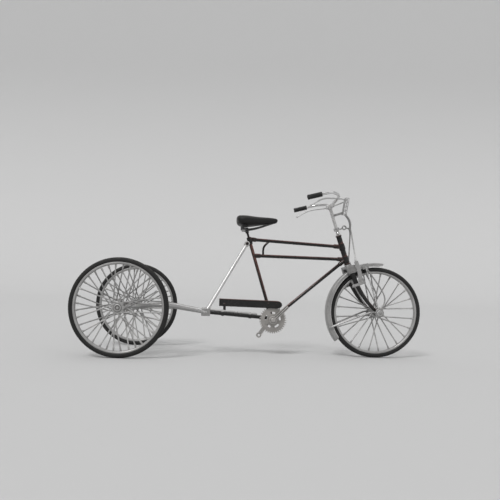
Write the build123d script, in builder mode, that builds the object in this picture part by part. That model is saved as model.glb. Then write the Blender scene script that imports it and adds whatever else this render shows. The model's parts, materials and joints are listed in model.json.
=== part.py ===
import os
from math import asin, cos, radians, sin

from build123d import *

# Sizes in millimetres, angles in degrees. +X is forward, -Y is the drive side, +Z is up.
wheelbase = 120.3
rear_track = 52.8
tyre_radius = 22.0
tyre_half_width = 1.35
tyre_depth = 2.05
rim_depth = 1.05
rim_half_width = 1.1
tyre_seat_gap = 0.05
spoke_radius = 0.3
spoke_lead = 52.0
spoke_layer = 0.33
front_spoke_count = 24
rear_spoke_count = 36

head_angle = 71.6
fork_rake = 6.08
fork_reach = 42.07
head_tube_radius = 1.25
head_tube_length = 14.8
race_height = 0.8
upper_lug_drop = 5.8
lower_lug_rise = 2.6
lug_wall = 0.25
lug_length = 3.0
steerer_radius = 0.7
steerer_gap = 0.06
steerer_standout = 1.7

bracket_x = 10.0
bracket_z = 17.2
bracket_radius = 1.5
bracket_half_length = 2.2
spindle_radius = 0.6
bearing_gap = 0.05
fit_gap = 0.02

seat_angle = 72.7
seat_tube_length = 41.7
tube_radius = 0.8
top_tube_drop = 1.0
top_tube_spacing = 8.3
post_radius = 0.55
post_standout = 3.7
post_insert = 6.0

stay_radius = 0.8
stay_ear_radius = 1.3
stay_ear_gap = 0.05
stay_ear_thickness = 0.9
stay_bolt_radius = 0.45
ear_behind = 1.75
ear_drop = 1.9
lug_half_width = 1.7
joint_x = -22.3
joint_z = 20.2
joint_half_track = 6.5
joint_length = 4.2
joint_width = 2.0
joint_height = 3.6
clip_parts = (0.34, 0.75)
clip_wall = 0.25
clip_length = 1.3
beam_radius = 0.9
beam_crest_x = -41.0
beam_crest_z = 23.2
hanger_half_track = 20.0
hanger_size = 3.4
hanger_width = 2.0
rear_axle_radius = 0.7

chain_line = 3.8
chainring_tip = 6.5
chainring_teeth = 36
sprocket_tip = 2.6
sprocket_teeth = 14
tooth_height = 0.55
ring_thickness = 0.6
guard_rear_x = -16.0
guard_front_x = 14.0
guard_height = 3.3
guard_drop = 0.8
guard_thickness = 0.5
guard_side = 4.65
right_crank_length = 9.5
right_crank_angle = 45.0
left_crank_length = 10.0
left_crank_angle = 236.0
crank_side = 5.5
crank_thickness = 1.0
crank_half_width = 0.95
crank_eye_radius = 1.3
pedal_hole_radius = 0.62

blade_half_track = 4.6
blade_top_radius = 1.2
blade_tip_radius = 0.7
crown_gap = 0.07
crown_height = 1.2
crown_length = 3.9
socket_drop = 2.5
front_axle_radius = 0.55
washer_radius = 2.05
washer_thickness = 0.3
guard_clearance = 2.2
guard_skirt = 2.6
guard_sheet = 0.4
guard_sheet_half_width = 2.35
guard_front_angle = 82.0
guard_rear_angle = 217.0
wire_radius = 0.33
rear_wire_radius = 0.42
clip_block = 3.2
stay_rod_radius = 0.4

stem_radius = 0.75
stem_rise = 14.7
clamp_radius = 1.25
clamp_half_length = 2.2
bar_radius = 0.65
grip_radius = 1.12
grip_length = 6.7
saddle_lift = 3.7
saddle_height = 3.2

axle_z = tyre_radius
rim_radius = tyre_radius - tyre_depth
guard_sheet_radius = tyre_radius + guard_clearance
front_x = wheelbase / 2
rear_x = -wheelbase / 2
rear_side = rear_track / 2
foot = (Align.CENTER, Align.CENTER, Align.MIN)

steer_ahead = Vector(sin(radians(head_angle)), 0, cos(radians(head_angle)))
steer_up = Vector(-cos(radians(head_angle)), 0, sin(radians(head_angle)))
front_axle_at = Vector(front_x, 0, axle_z)
steer_origin = front_axle_at - steer_ahead * fork_rake + steer_up * fork_reach
steering = Plane(origin=steer_origin, x_dir=steer_ahead, z_dir=steer_up)
bracket_at = Vector(bracket_x, 0, bracket_z)
seat_up = Vector(-cos(radians(seat_angle)), 0, sin(radians(seat_angle)))
seat_back = Vector(-sin(radians(seat_angle)), 0, -cos(radians(seat_angle)))
crown_foot = guard_sheet_radius + crown_gap - fork_reach
crown_top = crown_foot + crown_height
socket_foot = crown_foot - socket_drop
head_tube_foot = crown_top + race_height
head_tube_top = head_tube_foot + head_tube_length
upper_tube_head = head_tube_top - upper_lug_drop
down_tube_head = head_tube_foot + lower_lug_rise
clamp_along = head_tube_top + stem_rise
upper_tube_rise = seat_tube_length - top_tube_drop
lower_tube_rise = upper_tube_rise - top_tube_spacing
ear_rise = upper_tube_rise - ear_drop
post_length = seat_tube_length + post_standout
sides = (("right", -1), ("left", 1))
pieces = {}


def on_steering(ahead, side, along):
    return steering.from_local_coords(Vector(ahead, side, along))


def on_seat(rise):
    return bracket_at + seat_up * rise


def toward(start, end):
    return Plane(origin=start, z_dir=end - start)


def upright(x, y, z):
    return Plane(origin=(x, y, z), x_dir=(1, 0, 0), z_dir=(0, -1, 0))


# Wheels: rim, crossed spokes and hub in one casting, with a separate tyre on the rim.
rim_profile = [
    (rim_radius - rim_depth, -rim_half_width * 0.72),
    (rim_radius - rim_depth * 0.6, -rim_half_width),
    (rim_radius, -rim_half_width),
    (rim_radius, rim_half_width),
    (rim_radius - rim_depth * 0.6, rim_half_width),
    (rim_radius - rim_depth, rim_half_width * 0.72),
]
tyre_bore = rim_radius + tyre_seat_gap
tyre_wall = tyre_radius - tyre_bore
tyre_profile = [
    (tyre_bore, -tyre_half_width * 0.8),
    (tyre_bore + tyre_wall * 0.42, -tyre_half_width),
    (tyre_radius, -tyre_half_width * 0.38),
    (tyre_radius, tyre_half_width * 0.38),
    (tyre_bore + tyre_wall * 0.42, tyre_half_width),
    (tyre_bore, tyre_half_width * 0.8),
]
front_hub_half = 3.4
rear_hub_outer = 3.0
rear_hub_inner = rear_side - hanger_half_track - hanger_width / 2 - 0.4
wheel_columns = ("name", "x", "y", "spokes", "flange", "barrel", "lobe", "near", "far", "bore")
wheel_rows = (
    ("front", front_x, 0, front_spoke_count, 2.4, 1.2, 2.3, front_hub_half, front_hub_half,
     front_axle_radius + bearing_gap),
    ("rear_right", rear_x, -rear_side, rear_spoke_count, 2.75, 1.6, 2.2, rear_hub_outer, rear_hub_inner,
     rear_axle_radius + fit_gap),
    ("rear_left", rear_x, rear_side, rear_spoke_count, 2.75, 1.6, 2.2, rear_hub_inner, rear_hub_outer,
     rear_axle_radius + fit_gap),
)
for values in wheel_rows:
    row = dict(zip(wheel_columns, values))
    hub_face = upright(row["x"], row["y"], axle_z)
    section = Plane(origin=(row["x"], row["y"], axle_z))
    wheel_axis = Axis((row["x"], row["y"], axle_z), (0, 1, 0))
    spoke_planes = []
    for number in range(row["spokes"]):
        flange_side = 1 if number % 2 else -1
        sense = 1 if (number // 2) % 2 else -1
        rim_turn = radians((number + 0.5) * 360 / row["spokes"])
        hub_turn = rim_turn - sense * radians(spoke_lead)
        reach = row["flange"] - 0.45
        seat = rim_radius - rim_depth * 0.7
        hub_layer = flange_side * row["lobe"] + sense * spoke_layer
        rim_layer = flange_side * spoke_radius * 0.6 + sense * spoke_layer * 0.8
        inner = Vector(reach * cos(hub_turn), reach * sin(hub_turn), hub_layer)
        outer = Vector(seat * cos(rim_turn), seat * sin(rim_turn), rim_layer)
        spoke_planes.append(toward(hub_face.from_local_coords(inner), hub_face.from_local_coords(outer)))
        spoke_length = (outer - inner).length
    with BuildPart() as wheel:
        with BuildSketch(section):
            with BuildLine():
                Polyline(*rim_profile, close=True)
            make_face()
        revolve(axis=wheel_axis)
        with BuildSketch(*spoke_planes):
            RegularPolygon(spoke_radius, 6)
        extrude(amount=spoke_length)
        with Locations(hub_face.offset(-row["far"])):
            Cylinder(row["barrel"], row["near"] + row["far"], align=foot)
        with Locations(hub_face.offset(-row["lobe"]), hub_face.offset(row["lobe"])):
            Cylinder(row["flange"], 0.55)
        with Locations(hub_face):
            Cylinder(row["bore"], (row["near"] + row["far"]) * 2, mode=Mode.SUBTRACT)
    pieces["wheel_" + row["name"]] = wheel.part
    with BuildPart() as tyre:
        with BuildSketch(section):
            with BuildLine():
                Polyline(*tyre_profile, close=True)
            make_face()
        revolve(axis=wheel_axis)
    pieces["tyre_" + row["name"]] = tyre.part

# Frame: head tube, bottom bracket shell and the tubes between them.
with BuildPart() as head_tube:
    with Locations(steering.offset(head_tube_foot)):
        Cylinder(head_tube_radius, head_tube_top - head_tube_foot, align=foot)
    with Locations(steering.offset(upper_tube_head), steering.offset(down_tube_head)):
        Cylinder(head_tube_radius + lug_wall, lug_length)
    with Locations(steering.offset(head_tube_foot)):
        Cylinder(steerer_radius + steerer_gap, head_tube_top - head_tube_foot, align=foot, mode=Mode.SUBTRACT)
pieces["head_tube"] = head_tube.part

with BuildPart() as bracket_shell:
    with Locations(upright(bracket_x, 0, bracket_z)):
        Cylinder(bracket_radius, bracket_half_length * 2)
        Cylinder(spindle_radius + bearing_gap, bracket_half_length * 2, mode=Mode.SUBTRACT)
pieces["bottom_bracket_shell"] = bracket_shell.part

with BuildPart() as seat_tube:
    with Locations(toward(on_seat(bracket_radius * 0.7), on_seat(seat_tube_length))):
        Cylinder(tube_radius, seat_tube_length - bracket_radius * 0.7, align=foot)
    with Locations(toward(on_seat(seat_tube_length - post_insert - 0.5), on_seat(seat_tube_length))):
        Cylinder(post_radius + fit_gap, post_insert + 0.5, align=foot, mode=Mode.SUBTRACT)
    add(bracket_shell.part, mode=Mode.SUBTRACT)
pieces["seat_tube"] = seat_tube.part

with BuildPart() as seat_lug:
    with Locations(toward(on_seat(upper_tube_rise - 2.6), on_seat(seat_tube_length))):
        Cylinder(tube_radius + 0.35, seat_tube_length - upper_tube_rise + 2.6, align=foot)
    ear_at = on_seat(ear_rise) + seat_back * ear_behind
    with Locations(upright(ear_at.X, 0, ear_at.Z)):
        Cylinder(stay_ear_radius * 0.9, lug_half_width * 2)
    lug_middle = on_seat(ear_rise) + seat_back * (ear_behind / 2)
    with Locations(Plane(origin=lug_middle, x_dir=seat_back, z_dir=seat_up)):
        Box(ear_behind, lug_half_width * 1.2, stay_ear_radius * 1.6)
    with Locations(toward(on_seat(0), on_seat(seat_tube_length))):
        Cylinder(tube_radius, seat_tube_length * 1.2, align=foot, mode=Mode.SUBTRACT)
    with Locations(upright(ear_at.X, 0, ear_at.Z)):
        Cylinder(stay_bolt_radius + fit_gap, lug_half_width * 8, mode=Mode.SUBTRACT)
pieces["seat_lug"] = seat_lug.part

with BuildPart() as stay_bolt:
    bolt_reach = lug_half_width + stay_ear_gap + stay_ear_thickness
    with Locations(upright(ear_at.X, 0, ear_at.Z)):
        Cylinder(stay_bolt_radius, bolt_reach * 2)
    with Locations(upright(ear_at.X, -bolt_reach - 0.3, ear_at.Z), upright(ear_at.X, bolt_reach + 0.3, ear_at.Z)):
        Cylinder(stay_bolt_radius * 1.9, 0.5)
    with Locations(upright(ear_at.X, 0, ear_at.Z)):
        Cylinder(stay_bolt_radius, bolt_reach * 2 + 1.1)
pieces["stay_bolt"] = stay_bolt.part

with BuildPart() as down_tube:
    down_end = on_steering(0, 0, down_tube_head)
    with Locations(toward(bracket_at, down_end)):
        Cylinder(tube_radius, (down_end - bracket_at).length, align=foot)
    with Locations(steering.offset(down_tube_head)):
        Cylinder(head_tube_radius + lug_wall, lug_length, mode=Mode.SUBTRACT)
        Cylinder(head_tube_radius, lug_length * 4, mode=Mode.SUBTRACT)
    with Locations(upright(bracket_x, 0, bracket_z)):
        Cylinder(bracket_radius, bracket_half_length * 2, mode=Mode.SUBTRACT)
    add(seat_tube.part, mode=Mode.SUBTRACT)
pieces["down_tube"] = down_tube.part

top_columns = ("name", "rise", "along")
for values in (("upper_top_tube", upper_tube_rise, upper_tube_head), ("lower_top_tube", lower_tube_rise, down_tube_head)):
    row = dict(zip(top_columns, values))
    seat_end = on_seat(row["rise"])
    head_end = on_steering(0, 0, row["along"])
    with BuildPart() as top_tube:
        with Locations(toward(seat_end, head_end)):
            Cylinder(tube_radius, (head_end - seat_end).length, align=foot)
        with Locations(steering.offset(row["along"])):
            Cylinder(head_tube_radius + lug_wall, lug_length, mode=Mode.SUBTRACT)
            Cylinder(head_tube_radius, lug_length * 4, mode=Mode.SUBTRACT)
        with Locations(toward(on_seat(0), on_seat(seat_tube_length))):
            Cylinder(tube_radius, seat_tube_length * 1.2, align=foot, mode=Mode.SUBTRACT)
        add(seat_lug.part, mode=Mode.SUBTRACT)
        add(down_tube.part, mode=Mode.SUBTRACT)
    pieces[row["name"]] = top_tube.part

with BuildPart() as tube_brace:
    upper_way = on_steering(0, 0, upper_tube_head) - on_seat(upper_tube_rise)
    lower_way = on_steering(0, 0, down_tube_head) - on_seat(lower_tube_rise)
    brace_top = on_seat(upper_tube_rise) + upper_way * 0.22
    brace_foot = on_seat(lower_tube_rise) + lower_way * 0.1
    brace_middle = (brace_top + brace_foot) * 0.5 + Vector(-1.2, 0, 0.6)
    with BuildLine() as brace_path:
        ThreePointArc(brace_foot, brace_middle, brace_top)
    with BuildSketch(Plane(origin=brace_path.line @ 0, z_dir=brace_path.line % 0)):
        RegularPolygon(tube_radius * 0.65, 8)
    sweep()
    add(pieces["upper_top_tube"], mode=Mode.SUBTRACT)
    add(pieces["lower_top_tube"], mode=Mode.SUBTRACT)
pieces["top_tube_brace"] = tube_brace.part

# Seat post, saddle and its sprung frame.
with BuildPart() as seat_post:
    with Locations(toward(on_seat(seat_tube_length - post_insert), on_seat(post_length))):
        Cylinder(post_radius, post_length - seat_tube_length + post_insert, align=foot)
pieces["seat_post"] = seat_post.part

post_head = on_seat(post_length)
saddle_foot_z = post_head.Z + saddle_lift
with BuildPart() as saddle:
    with BuildSketch(Plane(origin=(post_head.X, 0, saddle_foot_z))):
        with BuildLine():
            ThreePointArc((-2.0, 6.7), (-5.0, 0), (-2.0, -6.7))
            Polyline((-2.0, -6.7), (1.2, -6.0), (7.0, -2.2), (13.4, -1.6))
            ThreePointArc((13.4, -1.6), (15.0, 0), (13.4, 1.6))
            Polyline((13.4, 1.6), (7.0, 2.2), (1.2, 6.0), (-2.0, 6.7))
        make_face()
    extrude(amount=saddle_height)
    fillet(saddle.edges().group_by(Axis.Z)[-1], 0.7)
pieces["saddle"] = saddle.part

with BuildPart() as saddle_frame:
    with Locations(upright(post_head.X, 0, post_head.Z)):
        Cylinder(0.95, 5.6)
    with Locations((post_head.X - 1.3, 0, post_head.Z)):
        Box(1.8, 10.0, 0.7)
    with Locations((post_head.X - 1.6, -4.2, post_head.Z), (post_head.X - 1.6, 4.2, post_head.Z)):
        Cylinder(1.15, saddle_lift, align=foot)
    for side, sign in sides:
        rail_start = Vector(post_head.X, sign * 2.2, post_head.Z)
        rail_end = Vector(post_head.X + 13.0, sign * 0.8, saddle_foot_z)
        with Locations(toward(rail_start, rail_end)):
            Cylinder(0.38, (rail_end - rail_start).length, align=foot)
    add(saddle.part, mode=Mode.SUBTRACT)
    add(seat_post.part, mode=Mode.SUBTRACT)
pieces["saddle_frame"] = saddle_frame.part

# Rear triangle and the spread beams that carry the live axle.
for side, sign in sides:
    joint_at = Vector(joint_x, sign * joint_half_track, joint_z)
    hanger_at = Vector(rear_x, sign * hanger_half_track, axle_z)
    ear_middle = Vector(ear_at.X, sign * (lug_half_width + stay_ear_gap + stay_ear_thickness / 2), ear_at.Z)
    with BuildPart() as joint:
        with Locations(joint_at):
            Box(joint_length, joint_width, joint_height)
    pieces["stay_joint_" + side] = joint.part
    with BuildPart() as seat_stay:
        stay_start = ear_middle + (joint_at - ear_middle).normalized() * stay_ear_radius * 0.7
        with Locations(toward(stay_start, joint_at)):
            Cylinder(stay_radius, (joint_at - stay_start).length, align=foot)
        with Locations(upright(*ear_middle)):
            Cylinder(stay_ear_radius, stay_ear_thickness)
        add(joint.part, mode=Mode.SUBTRACT)
        add(stay_bolt.part, mode=Mode.SUBTRACT)
        add(seat_lug.part, mode=Mode.SUBTRACT)
        with Locations(upright(ear_at.X, 0, ear_at.Z)):
            Cylinder(stay_bolt_radius + fit_gap, lug_half_width * 8, mode=Mode.SUBTRACT)
    pieces["seat_stay_" + side] = seat_stay.part
    with BuildPart() as chain_stay:
        stay_start = Vector(bracket_x, sign * (bracket_half_length - stay_radius), bracket_z + 0.6)
        stay_way = joint_at - stay_start
        with Locations(toward(stay_start, joint_at)):
            Cylinder(stay_radius, stay_way.length, align=foot)
        clip_planes = [Plane(origin=stay_start + stay_way * part, z_dir=stay_way) for part in clip_parts]
        with Locations(*clip_planes):
            Cylinder(stay_radius + clip_wall, clip_length)
        add(joint.part, mode=Mode.SUBTRACT)
        with Locations(upright(bracket_x, 0, bracket_z)):
            Cylinder(bracket_radius, bracket_half_length * 4, mode=Mode.SUBTRACT)
        add(seat_tube.part, mode=Mode.SUBTRACT)
    pieces["chain_stay_" + side] = chain_stay.part
    with BuildPart() as hanger:
        with Locations(hanger_at):
            Box(hanger_size, hanger_width, hanger_size)
        with Locations(upright(*hanger_at)):
            Cylinder(rear_axle_radius + bearing_gap, hanger_width * 2, mode=Mode.SUBTRACT)
    pieces["axle_hanger_" + side] = hanger.part
    with BuildPart() as beam:
        crest_part = (joint_x - beam_crest_x) / (joint_x - rear_x)
        crest_y = joint_half_track + (hanger_half_track - joint_half_track) * crest_part
        crest = Vector(beam_crest_x, sign * crest_y, beam_crest_z)
        beam_end = hanger_at + (crest - hanger_at).normalized() * hanger_size * 0.45
        with BuildLine() as beam_path:
            FilletPolyline(joint_at, crest, beam_end, radius=8)
        with BuildSketch(Plane(origin=beam_path.line @ 0, z_dir=beam_path.line % 0)):
            Circle(beam_radius)
        sweep()
        add(joint.part, mode=Mode.SUBTRACT)
        add(hanger.part, mode=Mode.SUBTRACT)
    pieces["rear_beam_" + side] = beam.part

# Thin rod clipped along the top of the drive-side chain stay.
stay_rod_lift = stay_radius + clip_wall + stay_rod_radius
with BuildPart() as stay_rod:
    rod_foot = Vector(bracket_x, stay_radius - bracket_half_length, bracket_z + 0.6 + stay_rod_lift)
    rod_back = Vector(joint_x, -joint_half_track, joint_z + stay_rod_lift)
    rod_way = rod_back - rod_foot
    rod_length = rod_way.length * 0.77 - joint_length * 0.4
    with Locations(Plane(origin=rod_foot + rod_way * 0.23, z_dir=rod_way)):
        Cylinder(stay_rod_radius, rod_length, align=foot)
    with Locations(*[Plane(origin=rod_foot + rod_way * part, z_dir=rod_way) for part in clip_parts]):
        Box(stay_rod_radius * 3, stay_rod_radius * 3, clip_length)
    add(pieces["stay_joint_right"], mode=Mode.SUBTRACT)
    add(pieces["seat_stay_right"], mode=Mode.SUBTRACT)
    add(pieces["chain_stay_right"], mode=Mode.SUBTRACT)
pieces["stay_rod"] = stay_rod.part

with BuildPart() as joint_bridge:
    with Locations(upright(joint_x, 0, joint_z)):
        Cylinder(tube_radius, (joint_half_track - joint_width / 2) * 2)
pieces["joint_bridge"] = joint_bridge.part

with BuildPart() as axle_bridge:
    bridge_part = 0.55
    bridge_at = crest + (hanger_at - crest) * bridge_part
    with Locations(upright(bridge_at.X, 0, bridge_at.Z)):
        Cylinder(tube_radius * 0.9, bridge_at.Y * 2)
    add(pieces["rear_beam_right"], mode=Mode.SUBTRACT)
    add(pieces["rear_beam_left"], mode=Mode.SUBTRACT)
pieces["axle_bridge"] = axle_bridge.part

# Live rear axle with its sprocket and hub caps.
with BuildPart() as rear_axle:
    with Locations(upright(rear_x, 0, axle_z)):
        Cylinder(rear_axle_radius, (rear_side + rear_hub_outer) * 2 - 0.4)
pieces["rear_axle"] = rear_axle.part

toothed_columns = ("name", "x", "z", "tip", "teeth", "bore", "hub")
toothed_rows = (
    ("chainring", bracket_x, bracket_z, chainring_tip, chainring_teeth, spindle_radius + fit_gap, 1.5),
    ("rear_sprocket", rear_x, axle_z, sprocket_tip, sprocket_teeth, rear_axle_radius + fit_gap, 1.3),
)
window_arc = CenterArc((0, 0), chainring_tip * 0.53, -3, 42)
for values in toothed_rows:
    row = dict(zip(toothed_columns, values))
    root = row["tip"] - tooth_height
    pitch = 360 / row["teeth"]
    with BuildPart() as toothed:
        with BuildSketch(upright(row["x"], -chain_line + ring_thickness / 2, row["z"])):
            Circle(root)
            with PolarLocations(0, row["teeth"]):
                Polygon(
                    (root * 0.97, -root * sin(radians(pitch * 0.36))),
                    (row["tip"], -row["tip"] * sin(radians(pitch * 0.14))),
                    (row["tip"], row["tip"] * sin(radians(pitch * 0.14))),
                    (root * 0.97, root * sin(radians(pitch * 0.36))),
                    align=None,
                )
            if row["name"] == "chainring":
                with PolarLocations(0, 5):
                    SlotArc(arc=window_arc, height=chainring_tip * 0.15, mode=Mode.SUBTRACT)
            Circle(row["bore"], mode=Mode.SUBTRACT)
        extrude(amount=ring_thickness)
    pieces[row["name"]] = toothed.part

# Chain guard on a strap from the seat tube and a strap from the stay rod.
with BuildPart() as chain_guard:
    guard_foot = bracket_z + chainring_tip - guard_drop
    with BuildSketch(upright(0, -guard_side, 0)):
        with BuildLine():
            Polyline(
                (guard_rear_x, guard_foot + 0.5),
                (guard_front_x, guard_foot),
                (guard_front_x, guard_foot + guard_height * 0.8),
                (guard_front_x - 1.5, guard_foot + guard_height),
                (guard_rear_x, guard_foot + guard_height + 0.5),
                close=True,
            )
        make_face()
    extrude(amount=guard_thickness)
    strap_rise = (guard_foot + guard_height * 0.6 - bracket_z) / seat_up.Z
    strap_at = on_seat(strap_rise)
    with Locations((strap_at.X, -guard_side / 2, strap_at.Z)):
        Box(1.0, guard_side, 0.9)
    clip_at = Vector(joint_x * 0.6, 0, 0)
    stay_part = (bracket_x - clip_at.X) / (bracket_x - joint_x)
    rod_z = (bracket_z + 0.6) * (1 - stay_part) + joint_z * stay_part + stay_rod_lift
    with Locations((clip_at.X, -guard_side - guard_thickness / 2, (rod_z + guard_foot + 1.5) / 2)):
        Box(1.3, guard_thickness, guard_foot + 1.5 - rod_z)
    add(seat_tube.part, mode=Mode.SUBTRACT)
    add(pieces["chain_stay_right"], mode=Mode.SUBTRACT)
    add(stay_rod.part, mode=Mode.SUBTRACT)
pieces["chain_guard"] = chain_guard.part

# Crank set: spindle, a plain square-ended right arm and a left arm with an open pedal eye.
with BuildPart() as spindle:
    with Locations(upright(bracket_x, 0, bracket_z)):
        Cylinder(spindle_radius, (crank_side + crank_thickness) * 2)
pieces["crank_spindle"] = spindle.part

crank_columns = ("side", "sign", "angle", "length", "eye")
crank_rows = (
    ("right", -1, right_crank_angle, right_crank_length, False),
    ("left", 1, left_crank_angle, left_crank_length, True),
)
boss_radius = crank_half_width * 2
for values in crank_rows:
    row = dict(zip(crank_columns, values))
    sign = row["sign"]
    boss_start = chain_line + ring_thickness / 2 + fit_gap if sign < 0 else bracket_half_length + 0.4
    arm_way = (cos(radians(row["angle"])), 0, sin(radians(row["angle"])))
    face = Plane(origin=(bracket_x, sign * crank_side, bracket_z), x_dir=arm_way, z_dir=(0, -1, 0))
    with BuildPart() as crank:
        with BuildSketch(face):
            Circle(boss_radius)
            with Locations((row["length"] / 2, 0)):
                Rectangle(row["length"], crank_half_width * 2)
            with Locations((row["length"], 0)):
                if row["eye"]:
                    Circle(crank_eye_radius)
                    Circle(pedal_hole_radius, mode=Mode.SUBTRACT)
        extrude(amount=-sign * crank_thickness)
        if not row["eye"]:
            with BuildSketch(face.offset(-sign * crank_thickness)):
                with Locations((row["length"] * 0.62, 0)):
                    Rectangle(row["length"] * 0.7, crank_half_width * 0.5)
            extrude(amount=sign * crank_thickness * 0.3, mode=Mode.SUBTRACT)
        with Locations(upright(bracket_x, sign * (crank_side + boss_start) / 2, bracket_z)):
            Cylinder(boss_radius, crank_side - boss_start)
        with Locations(upright(bracket_x, 0, bracket_z)):
            Cylinder(spindle_radius + fit_gap, crank_side * 4, mode=Mode.SUBTRACT)
    pieces["crank_" + row["side"]] = crank.part

# Fork: crown with the steerer, and two raked blades.
with BuildPart() as crown:
    with Locations(steering.offset((crown_top + crown_foot) / 2)):
        Box(crown_length, (blade_half_track + 1.3) * 2, crown_top - crown_foot)
    for side, sign in sides:
        with Locations(Plane(on_steering(0, sign * blade_half_track, socket_foot), x_dir=steer_ahead, z_dir=steer_up)):
            Box(crown_length, 2.6, crown_top - socket_foot, align=foot)
    with Locations(steering.offset(crown_top)):
        Cylinder(steerer_radius, race_height + head_tube_length + steerer_standout, align=foot)
        Cylinder(head_tube_radius + 0.2, race_height - bearing_gap * 2, align=foot)
pieces["fork_crown"] = crown.part

blade_drop = fork_reach + socket_foot
bend_radius = (fork_rake**2 + blade_drop**2) / (2 * fork_rake)
bend_turn = asin(blade_drop / bend_radius)
for side, sign in sides:
    tip_at = on_steering(fork_rake, sign * blade_half_track, -fork_reach)
    with BuildPart() as blade:
        for share in (0, 0.25, 0.5, 0.75, 1):
            turn = bend_turn * share
            ahead = bend_radius * (1 - cos(turn))
            place = on_steering(ahead, sign * blade_half_track, socket_foot - bend_radius * sin(turn))
            way = steer_ahead * sin(turn) - steer_up * cos(turn)
            with BuildSketch(Plane(origin=place, x_dir=(0, 1, 0), z_dir=way)):
                RegularPolygon(blade_top_radius + (blade_tip_radius - blade_top_radius) * share, 12)
        loft(ruled=True)
        with Locations(upright(*tip_at)):
            Cylinder(blade_tip_radius * 2, blade_tip_radius * 2)
            Cylinder(front_axle_radius + fit_gap, blade_half_track, mode=Mode.SUBTRACT)
    pieces["fork_blade_" + side] = blade.part

# Front axle, its nuts, and the mudguard with its wire stays.
eye_side = blade_half_track + blade_tip_radius + 0.3
eye_thickness = 0.62
eye_pitch = 0.85
eye_radius = 1.0
with BuildPart() as front_axle:
    nut_side = eye_side + eye_pitch + eye_thickness + 0.05
    with Locations(upright(front_x, 0, axle_z)):
        Cylinder(front_axle_radius, (nut_side + washer_thickness + 1.0) * 2)
    washer_side = nut_side + washer_thickness / 2
    with Locations(upright(front_x, -washer_side, axle_z), upright(front_x, washer_side, axle_z)):
        Cylinder(washer_radius, washer_thickness)
    nut_foot = nut_side + washer_thickness
    with BuildSketch(upright(front_x, -nut_foot, axle_z), upright(front_x, nut_foot + 0.7, axle_z)):
        RegularPolygon(1.45, 6)
    extrude(amount=0.7)
pieces["front_axle"] = front_axle.part

with BuildPart() as mudguard:
    half = guard_sheet_half_width
    rise = guard_sheet_radius
    with BuildSketch(Plane(origin=front_axle_at, x_dir=(1, 0, 0), z_dir=(0, 0, 1))):
        with BuildLine():
            Polyline(
                (rise - guard_skirt, half), (rise - 0.6, half), (rise, half - 0.7), (rise, 0.7 - half),
                (rise - 0.6, -half), (rise - guard_skirt, -half), (rise - guard_skirt, guard_sheet - half),
                (rise - 0.8, guard_sheet - half), (rise - guard_sheet, 1.0 - half),
                (rise - guard_sheet, half - 1.0), (rise - 0.8, half - guard_sheet),
                (rise - guard_skirt, half - guard_sheet), close=True,
            )
        make_face()
    revolve(axis=Axis(front_axle_at, (0, -1, 0)), revolution_arc=guard_rear_angle - guard_front_angle)
turned = mudguard.part.rotate(Axis(front_axle_at, (0, -1, 0)), guard_front_angle)
with BuildPart() as trimmed_guard:
    add(turned)
    with Locations(upright(front_x + 0.4, 0, axle_z + 0.8)):
        Cylinder(guard_sheet_radius - guard_skirt + 0.4, guard_sheet_half_width * 4, mode=Mode.SUBTRACT)
pieces["front_mudguard"] = trimmed_guard.part

wire_columns = ("name", "layer", "radius", "turn", "knee_x", "knee_z", "knee_in", "clip")
wire_rows = (
    ("mudguard_stay_rear", 0, rear_wire_radius, 199.0, -3.15, 0.4, 0.06, False),
    ("mudguard_stay_front", 1, wire_radius, 105.0, 2.6, 8.2, 0.3, True),
)
wire_reach = guard_sheet_radius - guard_skirt * 0.45
for values in wire_rows:
    row = dict(zip(wire_columns, values))
    turn = radians(row["turn"])
    for side, sign in sides:
        eye_at = Vector(front_x, sign * (eye_side + eye_pitch * row["layer"] + eye_thickness / 2), axle_z)
        end_side = sign * (guard_sheet_half_width + row["radius"])
        stay_end = Vector(front_x + wire_reach * cos(turn), end_side, axle_z + wire_reach * sin(turn))
        knee = eye_at + Vector(row["knee_x"], (stay_end.Y - eye_at.Y) * row["knee_in"], row["knee_z"])
        with BuildPart() as wire:
            with BuildLine() as wire_path:
                if row["clip"]:
                    ThreePointArc(eye_at, knee, stay_end)
                else:
                    Polyline(eye_at, knee, stay_end)
            with BuildSketch(Plane(origin=wire_path.line @ 0, z_dir=wire_path.line % 0)):
                RegularPolygon(row["radius"], 6)
            sweep(transition=Transition.RIGHT)
            if row["clip"]:
                with BuildSketch(toward(eye_at, stay_end)):
                    RegularPolygon(row["radius"], 6)
                extrude(amount=(stay_end - eye_at).length)
                tangent = (sin(turn), 0, -cos(turn))
                with Locations(Plane(origin=stay_end, x_dir=tangent, z_dir=(0, 1, 0))):
                    Box(clip_block, clip_block * 0.8, row["radius"] * 2)
            with Locations(upright(*eye_at)):
                Cylinder(eye_radius, eye_thickness)
                Cylinder(front_axle_radius + fit_gap, eye_side, mode=Mode.SUBTRACT)
            add(trimmed_guard.part, mode=Mode.SUBTRACT)
        pieces[row["name"] + "_" + side] = wire.part

# Stem, handlebar and grips.
with BuildPart() as headset:
    with Locations(steering.offset(head_tube_top + 0.1)):
        Cylinder(1.5, 1.2, align=foot)
    with Locations(steering.offset(head_tube_top + 1.3)):
        Cylinder(1.15, 1.6, align=foot)
    with Locations(steering.offset(head_tube_top)):
        Cylinder(stem_radius + fit_gap, head_tube_length, mode=Mode.SUBTRACT)
pieces["headset_nut"] = headset.part

clamp_at = on_steering(0, 0, clamp_along)
with BuildPart() as stem:
    with Locations(steering.offset(head_tube_top + steerer_standout + bearing_gap)):
        Cylinder(stem_radius, stem_rise - steerer_standout - bearing_gap, align=foot)
    with Locations(upright(*clamp_at)):
        Cylinder(clamp_radius, clamp_half_length * 2)
        Cylinder(bar_radius + fit_gap, clamp_half_length * 4, mode=Mode.SUBTRACT)
pieces["stem"] = stem.part

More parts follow.
